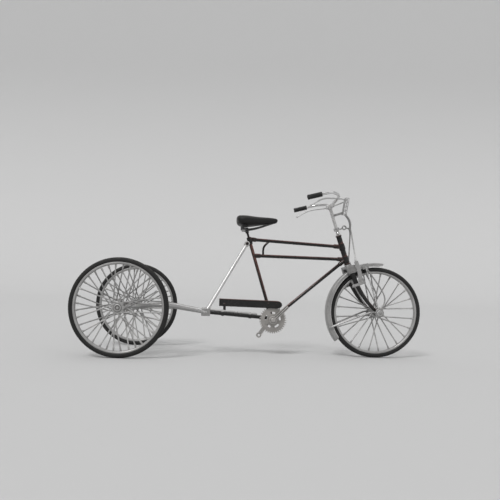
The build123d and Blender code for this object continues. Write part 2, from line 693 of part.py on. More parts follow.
bar_rows = []
for sign in (-1, 1):
    bar_rows.append(
        (
            clamp_at + Vector(0, sign * 5.2, 0),
            clamp_at + Vector(1.7, sign * 12.6, 3.2),
            clamp_at + Vector(-3.2, sign * 18.3, 3.7),
            clamp_at + Vector(-13.9, sign * 18.7, 0.9),
        )
    )
with BuildPart() as handlebar:
    with BuildLine() as bar_path:
        FilletPolyline(*reversed(bar_rows[0]), *bar_rows[1], radius=3.0)
    with BuildSketch(Plane(origin=bar_path.line @ 0, z_dir=bar_path.line % 0)):
        RegularPolygon(bar_radius, 12)
    sweep()
pieces["handlebar"] = handlebar.part

for (side, sign), corners in zip(sides, bar_rows):
    bar_way = (corners[2] - corners[3]).normalized()
    with BuildPart() as grip:
        with Locations(Plane(origin=corners[3] - bar_way * 0.5, z_dir=bar_way)):
            Cylinder(grip_radius, grip_length, align=foot)
        with Locations(Plane(origin=corners[3], z_dir=bar_way)):
            Cylinder(bar_radius + fit_gap, grip_length, align=foot, mode=Mode.SUBTRACT)
    pieces["grip_" + side] = grip.part

# Rod brake: levers under the bar, bracket ahead of the stem, stirrup legs and shoes.
plate_ahead = 7.45
guide_ring_radius = 1.15
leg_side = 6.45
leg_width = 1.9
leg_thickness = 0.5
shoe_reach = 15.9
shoe_tilt = 21.4
with BuildPart() as lever_bracket:
    with Locations(Plane(on_steering(plate_ahead, 0, clamp_along - 1.7), x_dir=steer_ahead, z_dir=steer_up)):
        Box(0.9, 3.2, 8.0)
    with Locations(Plane(on_steering(plate_ahead / 2, 0, clamp_along - 4.7), x_dir=steer_ahead, z_dir=steer_up)):
        Box(plate_ahead, 1.1, 1.1)
    add(stem.part, mode=Mode.SUBTRACT)
pieces["lever_bracket"] = lever_bracket.part

for side, sign in sides:
    with BuildPart() as lever:
        with BuildLine() as lever_path:
            FilletPolyline(
                clamp_at + Vector(-12.9, sign * 18.4, -2.8),
                clamp_at + Vector(-7.0, sign * 18.0, 0.9),
                clamp_at + Vector(2.5, sign * 13.0, 1.6),
                on_steering(plate_ahead, sign * 1.2, clamp_along + 0.9),
                radius=2.5,
            )
        with BuildSketch(Plane(origin=lever_path.line @ 0, z_dir=lever_path.line % 0)):
            RegularPolygon(wire_radius, 6)
        sweep()
        add(lever_bracket.part, mode=Mode.SUBTRACT)
    pieces["brake_lever_" + side] = lever.part

shoe_ahead = 0.48
shoe_along = shoe_reach - fork_reach
shoe_way = (cos(radians(shoe_tilt)), 0, sin(radians(shoe_tilt)))
for side, sign in sides:
    leg_top = on_steering(shoe_ahead + 2.2, sign * leg_side, crown_top + 1.3)
    leg_foot = on_steering(shoe_ahead + 1.4, sign * leg_side, shoe_along + 0.6)
    with BuildPart() as stirrup:
        with BuildLine() as rod_path:
            FilletPolyline(
                on_steering(plate_ahead, sign * 0.8, clamp_along - 4.9),
                on_steering(plate_ahead - 0.4, sign * 0.8, head_tube_top + 5.2),
                on_steering(plate_ahead - 1.9, sign * 0.9, head_tube_top + 1.0),
                leg_top,
                radius=1.5,
            )
        with BuildSketch(Plane(origin=rod_path.line @ 0, z_dir=rod_path.line % 0)):
            RegularPolygon(wire_radius, 6)
        sweep()
        with Locations(Plane(origin=leg_top, x_dir=steer_ahead, z_dir=leg_foot - leg_top)):
            Box(leg_width, leg_thickness, (leg_foot - leg_top).length, align=foot)
        add(lever_bracket.part, mode=Mode.SUBTRACT)
    pieces["brake_stirrup_" + side] = stirrup.part
    with BuildPart() as shoe:
        with Locations(Plane(on_steering(shoe_ahead, sign * leg_side, shoe_along), x_dir=shoe_way, z_dir=(0, 1, 0))):
            Box(6.0, 1.3, 1.3)
        add(stirrup.part, mode=Mode.SUBTRACT)
    pieces["brake_shoe_" + side] = shoe.part

with BuildPart() as rod_guide:
    guide_along = head_tube_top + 2.2
    with Locations(Plane(on_steering(1.6, 0, guide_along), x_dir=steer_ahead, z_dir=steer_up)):
        Box(3.0, 1.0, 0.7)
    with Locations(upright(*on_steering(3.8, 0, guide_along + 0.7))):
        Cylinder(guide_ring_radius, 1.0)
        Cylinder(guide_ring_radius * 0.5, 4.0, mode=Mode.SUBTRACT)
    with Locations(steering.offset(guide_along)):
        Cylinder(1.15, head_tube_length, mode=Mode.SUBTRACT)
pieces["rod_guide"] = rod_guide.part

os.makedirs("parts", exist_ok=True)
for name, piece in pieces.items():
    piece.label = name
    export_step(piece, "parts/" + name + ".step")
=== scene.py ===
import json
import math

import bmesh
import bpy
import numpy as np
from mathutils import Matrix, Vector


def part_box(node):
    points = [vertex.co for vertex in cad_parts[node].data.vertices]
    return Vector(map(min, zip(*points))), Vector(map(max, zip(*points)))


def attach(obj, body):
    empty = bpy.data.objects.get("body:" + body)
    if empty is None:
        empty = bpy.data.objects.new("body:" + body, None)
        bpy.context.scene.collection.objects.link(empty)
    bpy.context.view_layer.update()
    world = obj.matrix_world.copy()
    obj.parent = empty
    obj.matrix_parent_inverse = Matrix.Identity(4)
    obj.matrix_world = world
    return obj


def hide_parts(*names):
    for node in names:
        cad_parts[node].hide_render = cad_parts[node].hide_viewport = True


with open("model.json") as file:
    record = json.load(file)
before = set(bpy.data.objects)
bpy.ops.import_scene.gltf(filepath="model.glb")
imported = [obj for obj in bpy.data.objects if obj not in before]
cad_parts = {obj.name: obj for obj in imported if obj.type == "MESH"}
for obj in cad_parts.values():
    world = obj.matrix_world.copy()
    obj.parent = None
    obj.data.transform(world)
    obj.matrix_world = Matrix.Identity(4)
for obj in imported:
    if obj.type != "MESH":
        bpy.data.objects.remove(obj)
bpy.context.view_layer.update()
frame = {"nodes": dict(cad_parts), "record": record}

scene = bpy.context.scene
mm = 0.001
bodyOf = {node: body for body, nodes in frame["record"]["behaviour"]["bodies"].items() for node in nodes}
print("frame loaded:", len(frame["nodes"]), "nodes")

# camera: level, looking along +Y, rolled a little so that the ground drops to the right
shot = dict(place=(-19.6, -244.4, 30.8), roll=1.58, lens=36.0, sensor=36.0, shift=(0.076, 0.080),
            clip=(0.01, 20.0))


def placeCamera():
    data = bpy.data.cameras.new("shotCamera")
    data.lens, data.sensor_width = shot["lens"], shot["sensor"]
    data.shift_x, data.shift_y = shot["shift"]
    data.clip_start, data.clip_end = shot["clip"]
    camera = bpy.data.objects.new("shotCamera", data)
    roll = math.radians(shot["roll"])
    c, s = math.cos(roll), math.sin(roll)
    x, y, z = [v * mm for v in shot["place"]]
    camera.matrix_world = Matrix(((c, -s, 0, x), (0, 0, -1, y), (s, c, 0, z), (0, 0, 0, 1)))
    scene.collection.objects.link(camera)
    scene.camera = camera


placeCamera()


# grids: quads between neighbouring rows and columns; a looped way joins its last line to its first
def gridFaces(rows, cols, loopRows=False, loopCols=True):
    i = np.arange(rows if loopRows else rows - 1)[:, None]
    j = np.arange(cols if loopCols else cols - 1)[None, :]
    i2, j2 = (i + 1) % rows, (j + 1) % cols
    corners = np.broadcast_arrays(i * cols + j, i * cols + j2, i2 * cols + j2, i2 * cols + j)
    return np.stack(corners, -1).reshape(-1, 4).tolist()


# tube: a grid looped across, its first and last row closed by one face each
def tubeFaces(rows, cols):
    last = (rows - 1) * cols
    return gridFaces(rows, cols) + [list(range(cols))[::-1], list(range(last, last + cols))]


# open sheet from a grid of points
def sheet(points):
    rows, cols = points.shape[:2]
    return points.reshape(-1, 3), gridFaces(rows, cols, loopCols=False)


# vectors divided by their own lengths
def unit(v):
    v = np.asarray(v, float)
    return v / np.linalg.norm(v, axis=-1, keepdims=True)


# angles of one turn in equal steps
def fullTurn(steps):
    return np.arange(steps) * 2 * np.pi / steps


# (place, radius) rows on both sides of the middle, from the rows on one side
def bothWays(half):
    return [(-place, radius) for place, radius in half[::-1]] + list(half)


# Catmull-Rom curve through the given points, so many steps to each span
def smoothCurve(points, steps, loop=False):
    p = np.asarray(points, float)
    if loop:
        p = np.concatenate([p[-1:], p, p[:2]])
    else:
        p = np.concatenate([2 * p[:1] - p[1:2], p, 2 * p[-1:] - p[-2:-1]])
    t = (np.arange(steps) / steps)[None, :, None]
    a, b, c, d = (p[k:len(p) - 3 + k][:, None, :] for k in range(4))
    square, cube = 2 * a - 5 * b + 4 * c - d, 3 * b - a - 3 * c + d
    out = 0.5 * (2 * b + (c - a) * t + square * t**2 + cube * t**3)
    out = out.reshape(-1, p.shape[1])
    return out if loop else np.concatenate([out, p[-2:-1]])


# straight runs with each corner replaced by a quadratic arc that starts `cut` before it, or most of a run
def bentPath(points, cut, steps, most=0.48):
    p = np.asarray(points, float)
    t = np.linspace(0, 1, steps)[:, None]
    rows = [p[:1]]
    for before, corner, after in zip(p[:-2], p[1:-1], p[2:]):
        room = min(cut, np.linalg.norm(corner - before) * most, np.linalg.norm(after - corner) * most)
        a = corner + unit(before - corner) * room
        b = corner + unit(after - corner) * room
        rows.append((1 - t)**2 * a + 2 * t * (1 - t) * corner + t**2 * b)
    return np.concatenate(rows + [p[-1:]])


# closed outline of a circle, as (side, up) pairs
def circle(sides, radius):
    turn = fullTurn(sides)
    return np.stack([np.cos(turn) * radius, np.sin(turn) * radius], -1)


# sign and power of a wave, which squares a circle off as the power falls
def squared(wave, power):
    return np.sign(wave) * np.abs(wave)**power


# rectangle with rounded corners: a superellipse |x|^n + |y|^n = 1 scaled to the two half sizes
def pad(sides, halfSide, halfUp, power):
    turn = fullTurn(sides)
    wide, tall = (squared(wave(turn), 2 / power) for wave in (np.cos, np.sin))
    return np.stack([halfSide * wide, halfUp * tall], -1)


# profile carried along a path: each row is the profile, scaled, in the plane across the path
def carried(path, profile, lean, scale=1.0, loop=False):
    path = np.asarray(path, float)
    if loop:
        way = unit(np.roll(path, -1, 0) - np.roll(path, 1, 0))
    else:
        way = unit(np.gradient(path, axis=0))
    side = unit(np.cross(np.broadcast_to(np.asarray(lean, float), path.shape), way))
    up = np.cross(way, side)
    size = np.broadcast_to(np.asarray(scale, float), (len(path),))[:, None, None]
    flat = np.asarray(profile, float)
    verts = path[:, None] + size * (flat[None, :, :1] * side[:, None] + flat[None, :, 1:] * up[:, None])
    rows, cols = len(path), len(flat)
    faces = gridFaces(rows, cols, loopRows=True) if loop else tubeFaces(rows, cols)
    return verts.reshape(-1, 3), faces


# rods from each start to each end: stations are (share of the way, radius), all rods at once
def rods(starts, ends, stations, sides, turn=0.0):
    a, b = np.atleast_2d(np.asarray(starts, float)), np.atleast_2d(np.asarray(ends, float))
    way = unit(b - a)
    lean = np.where(np.abs(way[:, 1:2]) > 0.9, [[1.0, 0, 0]], [[0, 1.0, 0]])
    side = unit(np.cross(lean, way))
    up = np.cross(way, side)
    share, radius = np.asarray(stations, float).T
    angle = fullTurn(sides) + turn
    spoke = np.cos(angle)[:, None] * side[:, None, :] + np.sin(angle)[:, None] * up[:, None, :]
    centre = a[:, None] + (b - a)[:, None] * share[None, :, None]
    verts = centre[:, :, None] + radius[None, :, None, None] * spoke[:, None]
    one = tubeFaces(len(share), sides)
    step = len(share) * sides
    faces = [[k + n * step for k in face] for n in range(len(a)) for face in one]
    return verts.reshape(-1, 3), faces


# one rod along an axis: stations are (distance along, radius) in millimetres
def turned(origin, axis, stations, sides, turn=0.0):
    along = np.asarray(stations, float)
    first, last = along[0, 0], along[-1, 0]
    axis = unit(axis)
    share = (along[:, 0] - first) / (last - first)
    start = np.asarray(origin, float) + axis * first
    return rods(start, start + axis * (last - first), np.stack([share, along[:, 1]], -1), sides, turn)


# ring section (radius, side) spun about the wheel axis through centre; wave adds to the radius
def spun(section, centre, steps, wave=None):
    section = np.asarray(section, float)
    angle = fullTurn(steps)
    radius = np.broadcast_to(section[:, :1], (len(section), steps))
    if wave is not None:
        radius = radius + wave(section, angle)
    x = centre[0] + radius * np.cos(angle)
    z = centre[2] + radius * np.sin(angle)
    y = np.broadcast_to(centre[1] + section[:, 1:], x.shape)
    return np.stack([x, y, z], -1).reshape(-1, 3), gridFaces(len(section), steps, loopRows=True)


# block: rounded rectangle carried from start to end, its two ends drawn in for a soft edge
def block(start, end, halfSide, halfUp, lean, soft=0.25, power=7):
    start, end = np.asarray(start, float), np.asarray(end, float)
    share = np.array([0, soft * 0.35, soft]) / np.linalg.norm(end - start)
    share = np.concatenate([share, 1 - share[::-1]])
    small = 1 - soft / max(halfSide, halfUp)
    scale = np.array([small, 1 - (1 - small) * 0.35, 1])
    scale = np.concatenate([scale, scale[::-1]])
    return carried(start + (end - start) * share[:, None], pad(28, halfSide, halfUp, power), lean, scale)


# washer or eye: square-edged ring of the given inner and outer radius about a Y axis
def eyeRing(centre, inner, outer, half, steps=28, soft=0.12):
    section = [(inner, -half + soft), (inner + soft, -half), (outer - soft, -half), (outer, -half + soft),
               (outer, half - soft), (outer - soft, half), (inner + soft, half), (inner, half - soft)]
    return spun(section, centre, steps)


# joins several shells in one mesh, in metres; it rides on its node's body and stands for the node
def addPiece(name, node, finish, shells, crease=40):
    verts, faces, base = [], [], 0
    for points, quads in shells:
        verts.append(points)
        faces += [[k + base for k in quad] for quad in quads]
        base += len(points)
    mesh = bpy.data.meshes.new(name)
    mesh.from_pydata((np.concatenate(verts) * mm).tolist(), [], faces)
    mesh.validate()
    turnOutward(mesh)
    mesh.shade_smooth()
    mesh.set_sharp_from_angle(angle=math.radians(crease))
    mesh.materials.append(finishes[finish])
    markSurface(mesh)
    obj = bpy.data.objects.new(name, mesh)
    scene.collection.objects.link(obj)
    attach(obj, bodyOf[node])
    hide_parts(node)
    return obj


# faces turned so that they point outwards
def turnOutward(mesh):
    work = bmesh.new()
    work.from_mesh(mesh)
    bmesh.ops.recalc_face_normals(work, faces=work.faces)
    work.to_mesh(mesh)
    work.free()


# two marks at each point: how far it faces up, and how the edges that leave it rise above the surface,
# which is above zero in a hollow and below zero on an outer edge
def markSurface(mesh):
    count = len(mesh.vertices)
    spot, facing, ends = np.zeros(count * 3), np.zeros(count * 3), np.zeros(len(mesh.edges) * 2, int)
    mesh.vertices.foreach_get("co", spot)
    mesh.vertices.foreach_get("normal", facing)
    mesh.edges.foreach_get("vertices", ends)
    spot, facing, (first, second) = spot.reshape(-1, 3), facing.reshape(-1, 3), ends.reshape(-1, 2).T
    way = spot[second] - spot[first]
    way = way / np.maximum(np.linalg.norm(way, axis=1, keepdims=True), 1e-9)
    lift, edges = np.zeros(count), np.zeros(count)
    np.add.at(lift, first, (facing[first] * way).sum(1))
    np.add.at(lift, second, -(facing[second] * way).sum(1))
    np.add.at(edges, ends, 1)
    marks = {"upward": facing[:, 2], "lift": lift / np.maximum(edges, 1)}
    for name, values in marks.items():
        mesh.attributes.new(name, "FLOAT", "POINT").data.foreach_set("value", values)


# gives a sheet its thickness, half to each side, and softens its edges
def thicken(obj, depth, soft=0.0):
    wall = obj.modifiers.new("wall", "SOLIDIFY")
    wall.thickness, wall.offset = depth * mm, 0.0
    if soft:
        edge = obj.modifiers.new("softEdges", "BEVEL")
        edge.width, edge.segments = soft * mm, 1
        edge.limit_method, edge.angle_limit = "ANGLE", math.radians(60)


# a shader socket that can be used in sums
class Flow:
    def __init__(self, tree, socket=None):
        self.tree, self.socket = tree, socket

    def node(self, kind, settings=(), inputs=(), out=0):
        made = self.tree.nodes.new(kind)
        for key, value in dict(settings).items():
            if key == "stops":
                while len(made.color_ramp.elements) < len(value):
                    made.color_ramp.elements.new(0.5)
                for element, (place, colour) in zip(made.color_ramp.elements, value):
                    element.position, element.color = place, colour
            else:
                setattr(made, key, value)
        for key, value in dict(inputs).items():
            if isinstance(value, Flow):
                self.tree.links.new(value.socket, made.inputs[key])
            else:
                made.inputs[key].default_value = value
        return Flow(self.tree, made.outputs[out])

    def sum(self, operation, a, b=0.0):
        return self.node("ShaderNodeMath", {"operation": operation}, {0: a, 1: b})

    def __add__(self, other):
        return self.sum("ADD", self, other)

    def __sub__(self, other):
        return self.sum("SUBTRACT", self, other)

    def __rsub__(self, other):
        return self.sum("SUBTRACT", other, self)

    def __mul__(self, other):
        return self.sum("MULTIPLY", self, other)

    __radd__, __rmul__ = __add__, __mul__

    def between(self, low, high):
        limits = {0: self, 1: low, 2: high}
        return self.node("ShaderNodeMapRange", {"interpolation_type": "SMOOTHSTEP"}, limits)

    def blend(self, first, second):
        return self.node("ShaderNodeMix", {"data_type": "RGBA"}, {0: self, 6: first, 7: second}, out=2)

    def noise(self, where, size, detail=3.0, rough=0.55):
        values = {"Vector": where, "Scale": 1 / (size * mm), "Detail": detail, "Roughness": rough}
        return self.node("ShaderNodeTexNoise", {"noise_dimensions": "3D"}, values)


# grey with a share of red added and as much blue taken away
def grey(v, warm=0.0):
    return (v * (1 + warm), v, v * (1 - warm), 1.0)


# finishes: dark and light are the two ends of the colour drift, rough its gloss, grain (size, depth) the
# fine surface; worn shows on chips and on upper sides, partly rubbed wear and partly painted sheen (painted
# reflection), outer edges are lightened as wear and painted highlight, hollows darkened as painted shade,
# dust on upper sides
# red-brown of the black paint's chips and of the painted reflection along its upper sides
redBrown = (0.135, 0.050, 0.038, 1.0)
paints = {
    "black": dict(dark=grey(0.006), light=grey(0.012, 0.06), rough=(0.16, 0.32), coat=0.22, shine=0.3,
                  grain=(0.5, 0.04), wornAndSheen=redBrown, rubbedAndSheen=0.85, chips=0.6, edge=0.3,
                  bright=(0.16, 0.085, 0.07, 1.0), dust=0.03),
    "stayBlack": dict(dark=grey(0.006), light=grey(0.012), rough=(0.18, 0.34), coat=0.22, shine=0.3,
                      grain=(0.5, 0.04), wornAndSheen=grey(0.07, 0.10), rubbedAndSheen=0.2, chips=0.5, dust=0.03),
    "silver": dict(dark=grey(0.25, 0.012), light=grey(0.38, 0.012), rough=(0.28, 0.44), metal=0.40,
                   grain=(0.22, 0.10), wornAndSheen=grey(0.15, 0.03), chips=0.35, edge=0.7, bright=grey(0.72),
                   hollowShade=0.85, dust=0.05),
    "dullSilver": dict(dark=grey(0.20, 0.015), light=grey(0.31, 0.015), rough=(0.30, 0.46), metal=0.40,
                       grain=(0.22, 0.12), wornAndSheen=grey(0.14, 0.03), chips=0.35, edge=0.85, bright=grey(0.76),
                       hollowShade=0.85, dust=0.05),
    "paleSilver": dict(dark=grey(0.46, 0.01), light=grey(0.62, 0.01), rough=(0.22, 0.36), metal=0.40,
                       grain=(0.3, 0.06), wornAndSheen=grey(0.34, 0.03), chips=0.3, hollowShade=0.8, dust=0.04),
    "chrome": dict(dark=grey(0.62, 0.01), light=grey(0.80), rough=(0.10, 0.24), metal=1.0, grain=(0.8, 0.03),
                   wornAndSheen=grey(0.34, 0.05), chips=0.25, hollowShade=0.6),
    "wire": dict(dark=grey(0.44, 0.01), light=grey(0.60), rough=(0.34, 0.48), metal=0.7, grain=(0.5, 0.04),
                 wornAndSheen=grey(0.30, 0.05), chips=0.3),
    "wheel": dict(dark=grey(0.30, 0.012), light=grey(0.44, 0.012), rough=(0.28, 0.44), metal=0.35,
                  grain=(0.3, 0.06), wornAndSheen=grey(0.20, 0.04), chips=0.35, hollowShade=0.6, dust=0.05),
    "ring": dict(dark=grey(0.27, 0.045), light=grey(0.40, 0.045), rough=(0.32, 0.48), metal=0.40,
                 grain=(0.2, 0.12), wornAndSheen=grey(0.13, 0.06), chips=0.4, edge=0.7, bright=grey(0.66, 0.03),
                 hollowShade=0.9, dust=0.04),
    "arm": dict(dark=grey(0.36, 0.035), light=grey(0.52, 0.035), rough=(0.28, 0.42), metal=0.40,
                grain=(0.2, 0.10), wornAndSheen=grey(0.24, 0.05), chips=0.35, edge=0.6, bright=grey(0.80, 0.02),
                hollowShade=1.0, dust=0.03),
    "tyre": dict(dark=grey(0.009), light=grey(0.020, 0.03), rough=(0.58, 0.82), shine=0.35,
                 grain=(0.12, 0.35), wornAndSheen=grey(0.045, 0.05), chips=0.5, dust=0.10),
    "grip": dict(dark=grey(0.012), light=grey(0.026), rough=(0.50, 0.70), shine=0.4, grain=(0.15, 0.25),
                 wornAndSheen=grey(0.06), chips=0.3, dust=0.06),
    "saddle": dict(dark=grey(0.006), light=grey(0.013, 0.05), rough=(0.36, 0.56), shine=0.3,
                   grain=(0.22, 0.45), wornAndSheen=grey(0.032, 0.10), rubbedAndSheen=0.35, chips=0.3, dust=0.03,
                   pebbled=True),
    "spring": dict(dark=grey(0.010), light=grey(0.022), rough=(0.28, 0.42), coat=0.2, grain=(0.3, 0.06),
                   wornAndSheen=grey(0.10, 0.05), chips=0.4),
}
# near-black painted into hollows as painted shade
hollowShadeColour = (0.030, 0.027, 0.023, 1.0)
dustColour = (0.36, 0.34, 0.31, 1.0)
# sizes of the marks in millimetres, and how streaks stretch along x
markSizes = dict(broad=9.0, specks=0.6, streaks=0.5, chips=0.9, dust=1.6, pebbles=0.45, relief=0.1)
streakStretch = (0.16, 0.8, 1.0)


# drift of two noises between the two colours; chips where a third noise peaks; marks of the surface choose
# upper sides with rubbed wear and painted sheen, dusty upper sides, edges lightened as wear and painted
# highlight, hollows darkened as painted shade
def makeFinish(name, dark, light, rough, grain, wornAndSheen, chips=0.0, rubbedAndSheen=0.0, edge=0.0, bright=None, hollowShade=0.0,
               dust=0.0, metal=0.0, coat=0.0, shine=0.5, pebbled=False):
    made = bpy.data.materials.new(name + "Finish")
    made.use_nodes = True
    tree = made.node_tree
    shader = tree.nodes["Principled BSDF"]
    flow, size = Flow(tree), markSizes
    where = flow.node("ShaderNodeTexCoord", out="Object")
    upward = flow.node("ShaderNodeAttribute", {"attribute_name": "upward"}, out="Fac")
    lift = flow.node("ShaderNodeAttribute", {"attribute_name": "lift"}, out="Fac")
    broad = flow.noise(where, size["broad"], 2.0).between(0.3, 0.7)
    specks = flow.noise(where, size["specks"], 4.0).between(0.35, 0.75)
    drift = broad * 0.6 + specks * 0.4
    stretched = flow.node("ShaderNodeVectorMath", {"operation": "MULTIPLY"}, {0: where, 1: streakStretch})
    streaks = flow.noise(stretched, size["streaks"])
    chipped = flow.noise(where, size["chips"], 5.0, 0.7).between(0.66, 0.72) * chips
    scratched = streaks.between(0.66, 0.70) * (chips * 0.5)
    bareAndSheen = flow.sum("MAXIMUM", chipped, scratched)
    # upper sides: partly rubbed wear, partly a painted sheen on the side that faces up; on the black paint it
    # is a red-brown painted reflection
    if rubbedAndSheen:
        bareAndSheen = flow.sum("MAXIMUM", bareAndSheen, upward.between(0.2, 0.7) * streaks.between(0.28, 0.52) * rubbedAndSheen)
    colour = bareAndSheen.blend(drift.blend(dark, light), wornAndSheen)
    # outer edges lightened: partly edge wear, partly a painted highlight where light catches the edges
    if edge:
        outer = (0.0 - lift).between(0.16, 0.36) * specks.between(0.0, 0.5) * edge
        colour = outer.blend(colour, bright)
    # hollows darkened: painted shade in creases, flutes and gaps between parts
    if hollowShade:
        hollow = lift.between(0.05, 0.26) * hollowShade
        colour = hollow.blend(colour, hollowShadeColour)
    if dust:
        lying = upward.between(0.1, 1.0) * flow.noise(where, size["dust"], 4.0).between(0.35, 0.7) * dust
        colour = lying.blend(colour, dustColour)
    tree.links.new(colour.socket, shader.inputs["Base Color"])
    gloss = drift * (rough[1] - rough[0]) + rough[0] + bareAndSheen * 0.18
    tree.links.new(gloss.socket, shader.inputs["Roughness"])
    height = flow.noise(where, grain[0])
    if pebbled:
        values = {"Vector": where, "Scale": 1 / (size["pebbles"] * mm)}
        cells = flow.node("ShaderNodeTexVoronoi", {"feature": "DISTANCE_TO_EDGE"}, values)
        height = height * 0.4 + cells.between(0.0, 0.25) * 0.6
    relief = {"Strength": grain[1], "Distance": size["relief"] * mm, "Height": height - bareAndSheen * 0.5}
    bump = flow.node("ShaderNodeBump", {}, relief)
    tree.links.new(bump.socket, shader.inputs["Normal"])
    steady = {"Metallic": metal, "Coat Weight": coat, "Coat Roughness": 0.08, "Specular IOR Level": shine}
    for key, value in steady.items():
        shader.inputs[key].default_value = value
    return made


finishes = {name: makeFinish(name, **values) for name, values in paints.items()}
slotOf = {row["node"]: row["material_slot"] for row in frame["record"]["subparts"]}
for name, obj in frame["nodes"].items():
    obj.data.materials.clear()
    obj.data.materials.append(finishes[slotOf[name]])
print("finishes:", len(finishes))

# places on the two leaning axes, in millimetres
steerOrigin, steerAngle = np.array([41.1015, 0.0, 60.0001]), math.radians(71.6)
steerAhead = np.array([math.sin(steerAngle), 0.0, math.cos(steerAngle)])
steerUp = np.array([-math.cos(steerAngle), 0.0, math.sin(steerAngle)])
bracketAt, seatAngle = np.array([10.0, 0.0, 17.2]), math.radians(72.7)
seatUp = np.array([-math.cos(seatAngle), 0.0, math.sin(seatAngle)])
seatBack = np.array([-math.sin(seatAngle), 0.0, -math.cos(seatAngle)])
across, upright = np.array([0.0, 1.0, 0.0]), (0, 0, 1)
bothSides = (("right", -1), ("left", 1))


# ahead of the steering axis, to a side, and along the axis
def onSteering(ahead, side, along):
    return steerOrigin + steerAhead * ahead + across * side + steerUp * along


# up the seat tube from the bracket, and behind it
def onSeat(rise, back=0.0):
    return bracketAt + seatUp * rise + seatBack * back


# wheels: the same layout as the solids, with round spokes, nipples and a rolled rim
wheelValues = dict(
    axleZ=22.0, rimRadius=19.95, rimDepth=1.05, rimHalf=1.1, rimWell=0.28, wellHalf=0.6,
    rimFlank=((0.0, 0.86), (0.12, 1.0), (0.5775, 0.97), (0.945, 0.66)),  # depth, share of rimHalf
    spokeRadius=0.29, nippleRadius=0.42, nippleLength=1.9, lead=52.0, layer=0.33, spokeSeat=0.45,
    tyreRadius=22.0, tyreHalf=1.35, tyreGap=0.05, lugs=110, cutDepth=0.10, grooveDepth=0.09)
rearHub = dict(x=-60.15, spokes=36, flange=2.75, barrel=1.6, lobe=2.2)
wheelRows = (
    dict(name="front", x=60.15, y=0.0, spokes=24, flange=2.4, barrel=1.2, lobe=2.3, low=-3.4, high=3.4),
    dict(rearHub, name="rear_right", y=-26.4, low=-3.0, high=5.0),
    dict(rearHub, name="rear_left", y=26.4, low=-5.0, high=3.0),
)


# spoke n leaves one flange `lead` degrees before or after the place where it meets the rim
def spokeEnds(row):
    v = wheelValues
    n = np.arange(row["spokes"])
    flangeSide = np.where(n % 2 == 1, 1.0, -1.0)
    sense = np.where((n // 2) % 2 == 1, 1.0, -1.0)
    rimTurn = np.radians((n + 0.5) * 360 / row["spokes"])
    hubTurn = rimTurn - sense * math.radians(v["lead"])
    reach, seat = row["flange"] - v["spokeSeat"], v["rimRadius"] - v["rimDepth"] * 0.7
    hubLayer = -(flangeSide * row["lobe"] + sense * v["layer"])
    rimLayer = -(flangeSide * v["spokeRadius"] * 0.6 + sense * v["layer"] * 0.8)
    centre = np.array([row["x"], row["y"], v["axleZ"]])
    inner = centre + np.stack([reach * np.cos(hubTurn), hubLayer, reach * np.sin(hubTurn)], -1)
    outer = centre + np.stack([seat * np.cos(rimTurn), rimLayer, seat * np.sin(rimTurn)], -1)
    return inner, outer


# hub: a grooved and domed cap at each end, and two flanges on a waisted barrel
def hubStations(row):
    f, bar, lobe = row["flange"], row["barrel"], row["lobe"]
    cap = [(0.02, 0.18), (0.0, 0.42), (0.06, 0.56), (0.3, 0.6), (0.3, bar * 0.68), (0.0, bar * 0.74),
           (0.0, bar * 0.9), (0.12, bar)]
    rim = [(-0.34, bar), (-0.27, f * 0.93), (-0.16, f), (0.16, f), (0.27, f * 0.93), (0.34, bar * 1.02)]
    waist = [(-lobe * 0.5, bar * 0.9), (lobe * 0.5, bar * 0.9)]
    flanges = [[(side + step, size) for step, size in rim] for side in (-lobe, lobe)]
    first = [(row["low"] + step, size) for step, size in cap]
    last = [(row["high"] - step, size) for step, size in cap[::-1]]
    return first + flanges[0] + waist + flanges[1] + last


# rim: a smooth closed curve through (radius, side) points, spun about the axle; a spoke is a thin rod that
# widens to its nipple at the rim
def makeWheel(row):
    v, node = wheelValues, "wheel_" + row["name"]
    centre = (row["x"], row["y"], v["axleZ"])
    outer, half, flank = v["rimRadius"], v["rimHalf"], v["rimFlank"]
    well, wellHalf = outer - v["rimWell"], half * v["wellHalf"]
    section = [(outer - deep, -half * part) for deep, part in flank] + [(outer - v["rimDepth"], 0)]
    section += [(outer - deep, half * part) for deep, part in flank[::-1]]
    section += [(well, wellHalf), (well, -wellHalf)]
    section = smoothCurve(section, 3, loop=True)
    addPiece("rim_" + row["name"], node, "wheel", [spun(section, centre, 120)])
    inner, rim = spokeEnds(row)
    r, nip = v["spokeRadius"], v["nippleRadius"]
    length = np.linalg.norm(rim - inner, axis=1).mean()
    a, b, c = 1 - v["nippleLength"] / length, 1 - (v["nippleLength"] - 0.2) / length, 1 - 0.25 / length
    spokes = rods(inner, rim, [(0, r * 0.6), (0.01, r), (a, r), (b, nip), (c, nip), (1, nip * 0.7)], 8)
    addPiece("spokes_" + row["name"], node, "wheel", [spokes])
    addPiece("hub_" + row["name"], node, "wheel", [turned(centre, across, hubStations(row), 40)])


